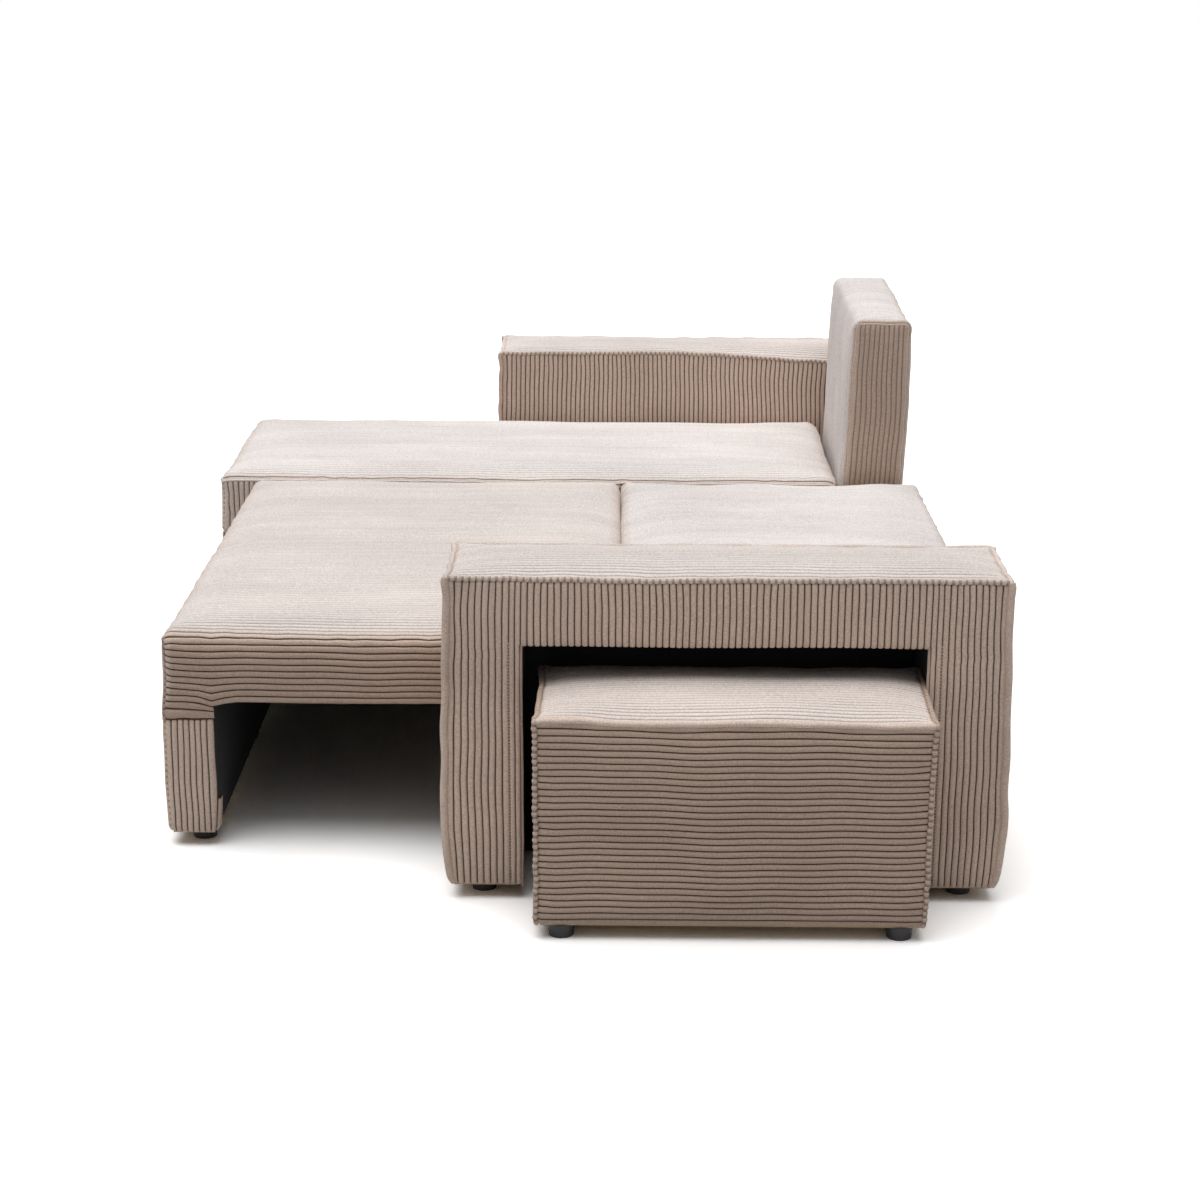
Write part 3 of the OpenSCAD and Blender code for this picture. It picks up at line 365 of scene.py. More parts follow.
def swell_cloth(points, faces, sewn, filling):
    """Runs the cloth solver on a closed skin and returns how far each point moved."""
    mesh = bpy.data.meshes.new("swell")
    mesh.from_pydata(points.tolist(), [], faces)
    obj = bpy.data.objects.new("swell", mesh)
    scene = bpy.context.scene
    scene.collection.objects.link(obj)
    obj.vertex_groups.new(name="sewn").add(sewn, 1.0, "REPLACE")
    cloth = obj.modifiers.new("swell", "CLOTH")
    for key, value in CLOTH_SETTINGS.items():
        setattr(cloth.settings, key, value)
    cloth.settings.uniform_pressure_force = filling.pressure
    cloth.settings.effector_weights.gravity = 0
    cloth.collision_settings.use_collision = False
    cloth.point_cache.frame_start = 1
    cloth.point_cache.frame_end = filling.frames
    for number in range(1, filling.frames + 1):
        scene.frame_set(number)
    view = bpy.context.evaluated_depsgraph_get()
    swollen = obj.evaluated_get(view).to_mesh()
    after = np.zeros(len(points) * 3)
    swollen.vertices.foreach_get("co", after)
    scene.frame_set(1)
    bpy.data.objects.remove(obj)
    bpy.data.meshes.remove(mesh)
    return after.reshape(-1, 3) - points


# ---- cord skins ----
RIB_END = (0.0012, 0.0030, 0.0054, 0.0084)  # rows of the mesh where a rib runs out into a seam
KINK_DEPTH, KINK_REACH = 0.0048, 0.011
STEADY_SIDE, STEADY_END = 0.03, 0.06  # how close to the edges of a face its ribs run straight
CURVE_STEPS = 5  # mesh steps on a rounded edge, for each radius


def stops(form, axis, low, high, step, extra=(), ends=(False, False)):
    """Lengths along the skin, close together on the rounded edges, at extra places and where ribs end."""
    marks = [form.length_at(axis, low), form.length_at(axis, high)]
    first, last = marks
    marks += [first + gap for gap in RIB_END if ends[0]] + [last - gap for gap in RIB_END if ends[1]]
    marks += [m for m in (-form.flat[axis], form.flat[axis]) if first + 1e-4 < m < last - 1e-4]
    marks += [form.length_at(axis, e) for e in extra if low < e < high]
    marks = np.sort(np.array(marks))
    out = [marks[:1]]
    for p, q in zip(marks[:-1], marks[1:]):
        rounded = abs((p + q) / 2) > form.flat[axis]
        count = max(1, int(math.ceil((q - p) / (form.radii[axis] / CURVE_STEPS if rounded else step))))
        out.append(np.linspace(p, q, count + 1)[1:])
    return np.concatenate(out)


class Skin:
    """Collects grids of cord and turns them into one mesh, with what its ribs and its colour need."""

    def __init__(self):
        self.parts = {}

    def add(self, group, points, wale, relief, flip, painted_light=PAINTED_LIGHT_UPRIGHT, soft=0.0):
        """A grid of points. Grids of the same group are sewn together where they meet."""
        # painted light, and the lift of the painted groove shade, for every point
        painted_light, soft = (np.broadcast_to(value, wale.shape) for value in (painted_light, soft))
        self.parts.setdefault(group, []).append((points, wale, relief, painted_light, soft, flip))

    def plain(self, group, points, flip):
        """A grid of cloth without ribs."""
        self.add(group, points, np.zeros(points.shape[:2]), np.zeros(points.shape[:2]), flip)

    def wrap(self, form, faces, across, **cuts):
        """Faces that are sewn together."""
        for face in faces:
            self.face(form, face, across, **cuts)

    def sides(self, form, faces, across, group=1, **cuts):
        """Faces that each are a group of their own."""
        for k, face in enumerate(faces):
            self.face(form, face, across, group + k, **cuts)

    def face(self, form, face, across, group=0, extra=(), ends=(0, 0), soft=0.0, plain=False, kink=None, **cuts):
        """One face of a form, with its ribs counted across an axis. Places such as high_z cut it short.

        ends says at which ends the ribs run out into a seam. The keyword after it lifts the painted shade in the
        grooves.
        kink is the height at which the ribs swerve.
        """
        cord = bpy.context.scene.sofa_cord
        axis, sign = face
        along = 3 - axis - across
        low, high = shaped(form.low, form.high, 0, **cuts)
        s0, s1 = form.length_at(across, low[across]), form.length_at(across, high[across])
        ribs = max(1, round((s1 - s0) / cord.rib_pitch))
        s = np.linspace(s0, s1, (4 if plain else ribs * cord.rib_steps) + 1)
        wale = np.linspace(0, ribs, len(s))
        t = stops(form, along, low[along], high[along], cord.row_step, extra, ends)
        grid_s, grid_t = np.meshgrid(s, t, indexing="ij")
        inner = np.clip(np.minimum(grid_s - s0, s1 - grid_s) / STEADY_SIDE, 0, 1)
        inner *= np.clip(np.minimum(grid_t - t[0], t[-1] - grid_t) / STEADY_END, 0, 1)
        stray = np.sin(grid_t * 17 + form.seed) * np.sin(grid_s * 5 + 1) + 0.6 * np.sin(grid_t * 41 + grid_s * 9)
        q = np.zeros(grid_s.shape + (3,))
        q[..., along] = form.at_length(along, grid_t)
        swerve = 0 if kink is None else KINK_DEPTH * np.exp(-(((q[..., along] - kink) / KINK_REACH) ** 2))
        q[..., across] = form.at_length(across, grid_s + (cord.wobble * stray + swerve) * inner)
        q[..., axis] = form.mid[axis] + sign * form.half[axis]
        wale = np.broadcast_to(wale[:, None], grid_s.shape)
        relief = np.zeros(grid_s.shape) if plain else self.run_out(grid_t, ends)
        flip = outward_flip(form.place(q), axis, sign)
        self.add(group, form.place(q, face), wale, relief, flip, form.painted_light(q), soft)

    # Where the ribs run out, the cloth also takes the painted groove shade, a dark band beside the seam.
    def run_out(self, t, ends):
        """Height of the ribs, which falls to nothing where they run out into a seam."""
        height = np.ones(t.shape)
        for gap, ending in ((t - t.min(), ends[0]), (t.max() - t, ends[1])):
            if ending:
                height *= np.sqrt(1 - (1 - np.clip(gap / RIB_END[-1], 0, 1)) ** 2)
        return height

    def mesh(self, name):
        """All groups as one mesh. Points that meet inside a group become one."""
        points, faces, start = [], [], 0
        # wale and relief shape the ribs; the other two layers carry painted light and the lift of the painted groove
        # shade
        layers = {"wale": [], "relief": [], "painted_light": [], "soft": []}
        for group in self.parts.values():
            p = np.concatenate([g[0].reshape(-1, 3) for g in group])
            _, first, back = np.unique(np.round(p, 5), axis=0, return_index=True, return_inverse=True)
            points.append(p[first])
            for k, values in enumerate(layers.values()):
                values.append(np.concatenate([g[k + 1].ravel() for g in group])[first])
            f, at = [], 0
            for grid, *_, flip in group:
                ids = np.arange(grid.shape[0] * grid.shape[1]).reshape(grid.shape[:2]) + at
                f.append(grid_faces(ids, flip))
                at += ids.size
            faces.append(back.ravel()[np.concatenate(f)] + start)
            start += len(first)
        mesh = bpy.data.meshes.new(name)
        mesh.from_pydata(np.concatenate(points).tolist(), [], np.concatenate(faces).tolist())
        for key, values in layers.items():
            layer = mesh.attributes.new(key, "FLOAT", "POINT")
            layer.data.foreach_set("value", np.concatenate(values).astype(np.float32))
        mesh.polygons.foreach_set("use_smooth", np.ones(len(mesh.polygons), bool))
        return mesh


# ---- node trees ----
class Tree:
    """Fills a node tree: each call makes a node, with its settings and what feeds it."""

    def __init__(self, tree):
        self.tree = tree

    def node(self, kind, feeds=None, **settings):
        """A new node. feeds gives its inputs a value, a socket or a node."""
        made = self.tree.nodes.new(kind)
        for key, value in settings.items():
            setattr(made, key, value)
        return self.feed(made, feeds or {})

    def feed(self, node, feeds):
        for key, value in feeds.items():
            if isinstance(value, bpy.types.Node):
                value = value.outputs[0]
            if isinstance(value, bpy.types.NodeSocket):
                self.tree.links.new(value, node.inputs[key])
            else:
                node.inputs[key].default_value = value
        return node

    def math(self, operation, a, b=0.0):
        return self.node("ShaderNodeMath", {0: a, 1: b}, operation=operation)

    def mix(self, factor, a, b):
        feeds = {"Factor": factor, "A": a, "B": b}
        return self.node("ShaderNodeMix", feeds, data_type="RGBA").outputs["Result"]

    def spread(self, value, low, high, interpolation="LINEAR"):
        """A value stretched from low and high to 0 and 1."""
        feeds = {"Value": value, "From Min": low, "From Max": high}
        return self.node("ShaderNodeMapRange", feeds, interpolation_type=interpolation).outputs["Result"]

    def seen(self, name):
        """An attribute of the mesh, in a material."""
        return self.node("ShaderNodeAttribute", attribute_name=name).outputs["Fac"]

    def noise(self, scale, detail, stretch=(1, 1, 1)):
        """A noise on the object, in a material."""
        place = self.node("ShaderNodeTexCoord").outputs["Object"]
        turn = self.node("ShaderNodeMapping", {"Vector": place, "Scale": stretch}).outputs["Vector"]
        return self.node("ShaderNodeTexNoise", {"Vector": turn, "Scale": scale, "Detail": detail}).outputs["Fac"]


class Group(Tree):
    """A node group with named inputs and outputs."""

    def __init__(self, name, kind, inputs, outputs):
        super().__init__(bpy.data.node_groups.new(name, kind))
        for label, (socket, value) in inputs.items():
            made = self.tree.interface.new_socket(name=label, in_out="INPUT", socket_type="NodeSocket" + socket)
            if value is not None:
                made.default_value = value
        for label, socket in outputs.items():
            self.tree.interface.new_socket(name=label, in_out="OUTPUT", socket_type="NodeSocket" + socket)
        self.inputs = self.node("NodeGroupInput").outputs
        self.sink = self.node("NodeGroupOutput")

    def identifiers(self):
        return {item.name: item.identifier for item in self.tree.interface.items_tree if item.in_out == "INPUT"}


class Growth(Group):
    """A geometry group that turns one geometry into another."""

    def __init__(self, name, inputs):
        geometry = {"Geometry": ("Geometry", None)}
        super().__init__(name, "GeometryNodeTree", {**geometry, **inputs}, {"Geometry": "Geometry"})

    def store(self, geometry, name, value):
        feeds = {"Geometry": geometry, "Name": name, "Value": value}
        return self.node("GeometryNodeStoreNamedAttribute", feeds, data_type="FLOAT", domain="POINT")

    def beads(self, curve, pitch, radius, share, segments, rings):
        """A small ball at every pitch of a curve, stretched along it to a share of the pitch."""
        points = self.node("GeometryNodeCurveToPoints", {"Curve": curve, "Length": pitch}, mode="LENGTH")
        ball = self.node("GeometryNodeMeshUVSphere", {"Segments": segments, "Rings": rings, "Radius": 1.0})
        size = self.node("ShaderNodeCombineXYZ", {0: radius, 1: radius, 2: self.math("MULTIPLY", pitch, share)})
        feeds = {"Instance": ball, "Rotation": points.outputs["Rotation"], "Scale": size}
        placed = self.node("GeometryNodeInstanceOnPoints", {"Points": points.outputs["Points"], **feeds})
        return self.node("GeometryNodeRealizeInstances", {"Geometry": placed})

    def finish(self, geometry, material):
        done = self.node("GeometryNodeSetMaterial", {"Geometry": geometry, "Material": self.inputs[material]})
        self.feed(self.sink, {0: done})
        return self


RIB_SQUARENESS, RIB_FULLNESS = 2.6, 0.6


def build_rib_tree():
    """Raises the ribs of the cord along the skin's normals, from the wale attribute."""
    t = Growth("Cord ribs", {"Height": ("Float", 0.0034), "Cloth": ("Material", None)})
    wale, relief = (
        t.node("GeometryNodeInputNamedAttribute", {"Name": name}, data_type="FLOAT") for name in ("wale", "relief")
    )
    phase = t.math("FRACT", t.math("ADD", wale, 0.0001))
    side = t.math("ABSOLUTE", t.math("SUBTRACT", t.math("MULTIPLY", phase, 2.0), 1.0))
    dip = t.math("POWER", side, RIB_SQUARENESS)
    profile = t.math("POWER", t.math("SUBTRACT", 1.0, dip), RIB_FULLNESS)
    noise = t.node("ShaderNodeTexNoise", {"Scale": 26.0, "Detail": 2.0})
    uneven = t.math("ADD", t.math("MULTIPLY", noise, 0.5), 0.75)
    rise = t.math("MULTIPLY", t.math("MULTIPLY", profile, uneven), relief)
    lift = t.math("MULTIPLY", rise, t.inputs["Height"])
    normal = t.node("GeometryNodeInputNormal")
    offset = t.node("ShaderNodeVectorMath", {0: normal, "Scale": lift}, operation="SCALE")
    moved = t.node("GeometryNodeSetPosition", {"Geometry": t.inputs["Geometry"], "Offset": offset})
    # The rib height is kept for the colour: grooves and run-out ends take painted shade from it.
    stored = t.store(moved, "rib", t.math("MULTIPLY", profile, relief))
    real = t.node("GeometryNodeRealizeInstances", {"Geometry": stored})
    return t.finish(real, "Cloth")


def build_flange_tree():
    """A raised seam along edges: a core with one bead for each rib that runs into it. The core is painted with a
    share of the groove's painted shade, and the seam with a level of painted light.
    """
    t = Growth(
        "Flanged seam",
        {
            "Pitch": ("Float", 0.0118),
            "Radius": ("Float", 0.0046),
            "Core share": ("Float", 0.7),
            "Bead share": ("Float", 0.5),
            "Core shade": ("Float", 0.5),
            "Nap": ("Float", 1.0),
            "Cloth": ("Material", None),
        },
    )
    curve = t.node("GeometryNodeMeshToCurve", {"Mesh": t.inputs["Geometry"]})
    beads = t.beads(curve, t.inputs["Pitch"], t.inputs["Radius"], t.inputs["Bead share"], 8, 6)
    core_radius = t.math("MULTIPLY", t.inputs["Radius"], t.inputs["Core share"])
    ring = t.node("GeometryNodeCurvePrimitiveCircle", {"Resolution": 8, "Radius": core_radius})
    feeds = {"Curve": curve, "Profile Curve": ring.outputs["Curve"], "Fill Caps": True}
    core = t.node("GeometryNodeCurveToMesh", feeds)
    both = t.node("GeometryNodeJoinGeometry")
    # beads painted light, the core painted with the given share of shade
    for part in (t.store(beads, "rib", 0.85), t.store(core, "rib", t.inputs["Core shade"])):
        t.feed(both, {0: part})
    real = t.node("GeometryNodeRealizeInstances", {"Geometry": both})
    rounded = t.node("GeometryNodeSetShadeSmooth", {"Geometry": real})
    return t.finish(t.store(rounded, "painted_light", t.inputs["Nap"]), "Cloth")


def build_stitch_tree():
    """A row of stitches along edges."""
    t = Growth("Stitches", {"Pitch": ("Float", 0.0045), "Radius": ("Float", 0.0007), "Thread": ("Material", None)})
    curve = t.node("GeometryNodeMeshToCurve", {"Mesh": t.inputs["Geometry"]})
    real = t.beads(curve, t.inputs["Pitch"], t.inputs["Radius"], 0.4, 6, 4)
    return t.finish(t.node("GeometryNodeSetShadeSmooth", {"Geometry": real}), "Thread")


TREES = {}


def grow(name, mesh, tree, values):
    """Runs a node tree on a mesh and returns a plain object with the result."""
    obj = bpy.data.objects.new(name, mesh)
    bpy.context.scene.collection.objects.link(obj)
    modifier = obj.modifiers.new("grow", "NODES")
    modifier.node_group = TREES[tree].tree
    keys = TREES[tree].identifiers()
    for label, value in values.items():
        modifier[keys[label]] = value
    view = bpy.context.evaluated_depsgraph_get()
    made = bpy.data.meshes.new_from_object(obj.evaluated_get(view), preserve_all_data_layers=True, depsgraph=view)
    obj.modifiers.clear()
    obj.data = made
    made.name = name
    bpy.data.meshes.remove(mesh)
    return obj


def finish_piece(obj, body, nodes=()):
    """Says what a piece rides on and hides the nodes that it replaces."""
    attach(obj, body)
    if nodes:
        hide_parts(*nodes)


def cord_piece(name, skin, material, body, nodes=()):
    """A piece of cloth, from a skin."""
    cord = bpy.context.scene.sofa_cord
    obj = grow(name, skin.mesh(name), "ribs", {"Height": cord.rib_height, "Cloth": FINISHES[material]})
    finish_piece(obj, body, nodes)


def padded_top(name, form, body, node):
    """The cushioned top of a box."""
    top = Skin()
    top.face(form, TOP, X, ends=(1, 1))
    cord_piece(name, top, "corduroy_top", body, [node])


def dust_cover(name, form, body):
    """Black cloth below a box."""
    dust = Skin()
    dust.face(form, BOTTOM, X, plain=True)
    cord_piece(name, dust, "black_lining", body)


# ---- seams ----
SEAM_KINDS = {  # core share, bead share and core shade
    "beads": (0.74, 0.5, 0.52),
    "plain": (1.0, 0.02, 0.85),
    # a thin tube in the groove colour: a painted shadow line along a crease
    "crease_shade": (1.0, 0.02, 0.0),
}


def edge_mesh(name, paths):
    """Open lines of points as one mesh of edges."""
    points, edges = [], []
    for path in paths:
        start = len(points)
        points.extend(path.tolist())
        edges.extend((k, k + 1) for k in range(start, len(points) - 1))
    mesh = bpy.data.meshes.new(name)
    mesh.from_pydata(points, edges, [])
    return mesh


def seam_piece(name, paths, material, body, kind="beads", radius=None, painted_light=PAINTED_LIGHT_UPRIGHT):
    """A raised or sunk seam along lines, of a kind in SEAM_KINDS."""
    cord = bpy.context.scene.sofa_cord
    # the seam's level of painted light is given by keyword
    core, bead, shade = SEAM_KINDS[kind]
    values = {
        "Pitch": cord.rib_pitch,
        "Radius": cord.flange if radius is None else radius,
        "Core share": core,
        "Bead share": bead,
        "Core shade": shade,
        "Nap": painted_light,
        "Cloth": FINISHES[material],
    }
    finish_piece(grow(name, edge_mesh(name, paths), "flange", values), body)


def path_on(form, places, out, face=None, step=0.006):
    """A line over a form through places on its sharp box, as points on the finished form."""
    pieces = []
    for p, q in zip(places[:-1], places[1:]):
        a, b = (np.array([form.length_at(k, end[k]) for k in AXES]) for end in (p, q))
        count = max(2, int(np.abs(b - a).max() / step))
        line = a + (b - a) * np.linspace(0, 1, count, endpoint=False)[:, None]
        pieces.append(np.stack([form.at_length(k, line[:, k]) for k in AXES], -1))
    pieces.append(np.array([places[-1]], float))
    return form.place(np.concatenate(pieces), face, out)


def ring_at(form, z):
    """Corners of a form at one height, round from the far front one and back to it."""
    l, h = form.low, form.high
    return [(l[X], l[Y], z), (h[X], l[Y], z), (h[X], h[Y], z), (l[X], h[Y], z), (l[X], l[Y], z)]


def near_and_rim(form, z, out):
    """The near side of a line round a form at one height, and the rest of it."""
    ring = ring_at(form, z)
    return [path_on(form, ring[1:3], out)], [path_on(form, ring[2:] + ring[1:2], out)]


def post(form, x, y, z0, z1, out):
    """A line up a corner."""
    return path_on(form, [(x, y, z0), (x, y, z1)], out)


def posts(form, z0, z1, out):
    """A line up each of the four corners."""
    return [post(form, x, y, z0, z1, out) for x in (form.low[X], form.high[X]) for y in (form.low[Y], form.high[Y])]


def drawn_in(form, points, depth=0.006, reach=0.035):
    """Pulls the lower end of a line towards the middle of its form."""
    t = np.clip((points[:, Z] - form.low[Z]) / reach, 0, 1)[:, None]
    points[:, :2] -= depth * (1 - t) ** 2 * np.sign(points[:, :2] - form.mid[:2])
    return points


def top_seams(name, form, out, radius, painted_light):
    """The seams round an armrest's top: beaded on the near side, plain on the others."""
    near, rim = near_and_rim(form, form.high[Z], out)
    # seams painted with a given level of painted light; the rear rim with a fixed one
    seam_piece(name + "_top_seam", near, "corduroy_side", "root", radius=radius, painted_light=painted_light)
    seam_piece(name + "_rim_seam", rim, "corduroy_side", "root", kind="plain", radius=0.0052, painted_light=0.6)


# ---- materials ----
FINISHES = {}
WHITE = (1, 1, 1, 1)
RIB_COLOUR = (0.16, 0.88)  # heights on a rib between which the painted groove shade turns into the pile colour
TOP_GROOVE_LIT = 0.62  # how far the painted light of lit tops lifts the painted shade in their grooves
STREAK_SHARE, CLOUD_SHARE, BLOTCH_MIDDLE = 0.9, 0.9, 1.4  # parts of the blotches, and their mean
GRAIN_SHARE = 0.95


def new_material(name):
    """The tree and the shader of a new material, which is kept in FINISHES."""
    material = FINISHES[name] = bpy.data.materials.new("finish_" + name)
    material.use_nodes = True
    return Tree(material.node_tree), material.node_tree.nodes["Principled BSDF"]


def build_painted_light_group():
    """Colour and height of the cord: painted light and shade by the way each face turns, painted shade in the
    grooves, blotches, streaks and fine grain.
    """
    colours = ("Lit pile", "Half-lit pile", "Shaded pile", "Groove shade")
    inputs = {**{label: ("Color", None) for label in colours}, "Blotch": ("Float", 0.12)}
    g = Group("Cord nap", "ShaderNodeTree", inputs, {"Color": "Color", "Height": "Float"})
    lit_pile, half_lit_pile, shaded, groove_shade = (g.inputs[label] for label in colours)
    painted_light = g.seen("painted_light")
    rib = g.spread(g.seen("rib"), *RIB_COLOUR, "SMOOTHSTEP")
    # painted light: the shaded, half-lit and lit pile colours mixed by how lit the face is painted
    lift = g.mix(g.spread(painted_light, 0.0, PAINTED_LIGHT_UPRIGHT), shaded, half_lit_pile)
    lit_colour = g.mix(g.spread(painted_light, PAINTED_LIGHT_UPRIGHT, 1.0), lift, lit_pile)
    # painted light lifts the painted groove shade on lit tops; the groove lift does so where it is given
    groove_lit = g.math("MULTIPLY", g.math("POWER", painted_light, 3.0), TOP_GROOVE_LIT)
    groove_colour = g.mix(g.math("MAXIMUM", groove_lit, g.seen("soft")), groove_shade, lit_colour)
    cloth = g.mix(rib, groove_colour, lit_colour)

    place = g.node("ShaderNodeTexCoord").outputs["Object"]
    each_rib = g.math("MULTIPLY", g.seen("wale"), 0.5)
    feeds = {"Vector": place, "W": each_rib, "Scale": 3.5, "Detail": 3}
    streaks = g.node("ShaderNodeTexNoise", feeds, noise_dimensions="4D").outputs["Fac"]
    blotches = g.math("ADD", g.noise(9, 5, (1, 0.22, 0.6)), g.math("MULTIPLY", streaks, STREAK_SHARE))
    blotches = g.math("ADD", blotches, g.math("MULTIPLY", g.noise(2.6, 2), CLOUD_SHARE))
    swing = g.math("MULTIPLY", g.math("SUBTRACT", blotches, BLOTCH_MIDDLE), g.inputs["Blotch"])
    grain = g.math("MULTIPLY", g.math("SUBTRACT", g.noise(380, 3), 0.5), GRAIN_SHARE)
    level = g.math("ADD", g.math("ADD", swing, grain), 1.0)
    tone = g.node("ShaderNodeVectorMath", {0: cloth, "Scale": level}, operation="SCALE")
    height = g.math("ADD", g.noise(1100, 2), g.math("MULTIPLY", g.noise(260, 2), 0.8))
    g.feed(g.sink, {"Color": tone, "Height": height})
    return g.tree


def cord_material(name, group, colours, blotch, sheen):
    """Brushed cord, with its own blotches and sheen."""
    t, shader = new_material(name)
    painted_light = t.node("ShaderNodeGroup", node_tree=group)
    t.feed(painted_light, {**{label: (*colour, 1) for label, colour in colours.items()}, "Blotch": blotch})
    bump = t.node("ShaderNodeBump", {"Strength": 0.7, "Distance": 0.0012, "Height": painted_light.outputs["Height"]})
    t.feed(
        shader,
        {
            "Base Color": painted_light.outputs["Color"],
            "Normal": bump,
            "Roughness": 0.95,
            "Specular IOR Level": 0.15,
            "Sheen Weight": sheen,
            "Sheen Roughness": 0.35,
            "Sheen Tint": (1.0, 0.98, 0.97, 1),
        },
    )


def simple_material(name, colour, rough, metallic=0.0, scale=60, vary=0.15, bump=0.0, stretch=(1, 1, 1)):
    """A material whose colour and roughness vary with a noise on the object."""
    t, shader = new_material(name)
    noise = t.noise(scale, 4, stretch)
    dark, light = ((*[min(1, c * level) for c in colour], 1) for level in (1 - vary, 1 + vary))
    feeds = {"Value": noise, "To Min": rough * 0.8, "To Max": min(1, rough * 1.2)}
    roughness = t.node("ShaderNodeMapRange", feeds).outputs["Result"]
    t.feed(shader, {"Base Color": t.mix(noise, dark, light), "Roughness": roughness, "Metallic": metallic})
    if bump:
        relief = t.node("ShaderNodeBump", {"Strength": 0.4, "Distance": bump, "Height": noise})
        t.feed(shader, {"Normal": relief})


# ---- operators ----
class SOFA_OT_materials(bpy.types.Operator):
    """Make the materials and the node trees"""

    bl_idname = "sofa.materials"
    bl_label = "Materials"

    def execute(self, context):
        cord = context.scene.sofa_cord
        painted_light = build_painted_light_group()
        colours = {"Lit pile": cord.lit_pile, "Half-lit pile": cord.half_lit_pile, "Shaded pile": cord.shaded, "Groove shade": cord.groove_shade}
        cord_material("corduroy_top", painted_light, colours, 0.32, 0.4)
        cord_material("corduroy_side", painted_light, colours, 0.36, 0.22)
        simple_material("black_lining", tuple(cord.lining), 0.9, scale=700, bump=0.0003)
        simple_material("wood", (0.62, 0.45, 0.27), 0.6, scale=14, vary=0.18, stretch=(1, 0.12, 1), bump=0.0002)
        simple_material("steel", (0.5, 0.51, 0.53), 0.38, 1.0, scale=90, vary=0.08)
        simple_material("black_paint", (0.02, 0.02, 0.022), 0.35, scale=120)
        simple_material("black_plastic", (0.014, 0.014, 0.015), 0.5, scale=420, vary=0.3, bump=0.0001)
        simple_material("seam_thread", (0.55, 0.47, 0.42), 0.7, scale=500)
        TREES.update(ribs=build_rib_tree(), flange=build_flange_tree(), stitch=build_stitch_tree())
        return {"FINISHED"}


def low_high(*names):
    """Corners of the box round some solids."""
    boxes = [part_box(n) for n in names]
    return np.min([b[0] for b in boxes], 0), np.max([b[1] for b in boxes], 0)


def gathered_at(y, z, reach=0.020, above=0.034, below=0.016, pull=0.010, fold=0.0022, wave=0.0042):
    """Pulls cloth down and into small folds round an inner corner, at one place in Y and Z."""

    def gathered(p):
        d_y, d_z = p[..., Y] - y, p[..., Z] - z
        near = np.exp(-((d_y / reach) ** 2) - (d_z / np.where(d_z > 0, above, below)) ** 2)
        out = p.copy()
        out[..., Z] -= pull * near
        out[..., X] += fold * near * np.sin((d_y + 0.6 * d_z) / wave) * np.sign(p[..., X])
        return out

    return gathered


def hem(skin, form, z, group, width=0.024):
    """A strip of cloth that turns in under a cushion, from its lower edge at a height."""
    loops = [path_on(form, ring_at(form, z), out)[:-1] for out in (0.002, -width)]
    skin.plain(group, np.stack([np.concatenate([loop, loop[:1]]) for loop in loops], 1), True)


BAND_RIBS = 3  # ribs of the seat cushion that run down over the front board
SEAT_CROWN, LID_CROWN, PAD_CROWN, POUF_CROWN = 0.010, 0.005, 0.005, 0.006
HANG = 0.0005  # how far a cover hangs below its solid


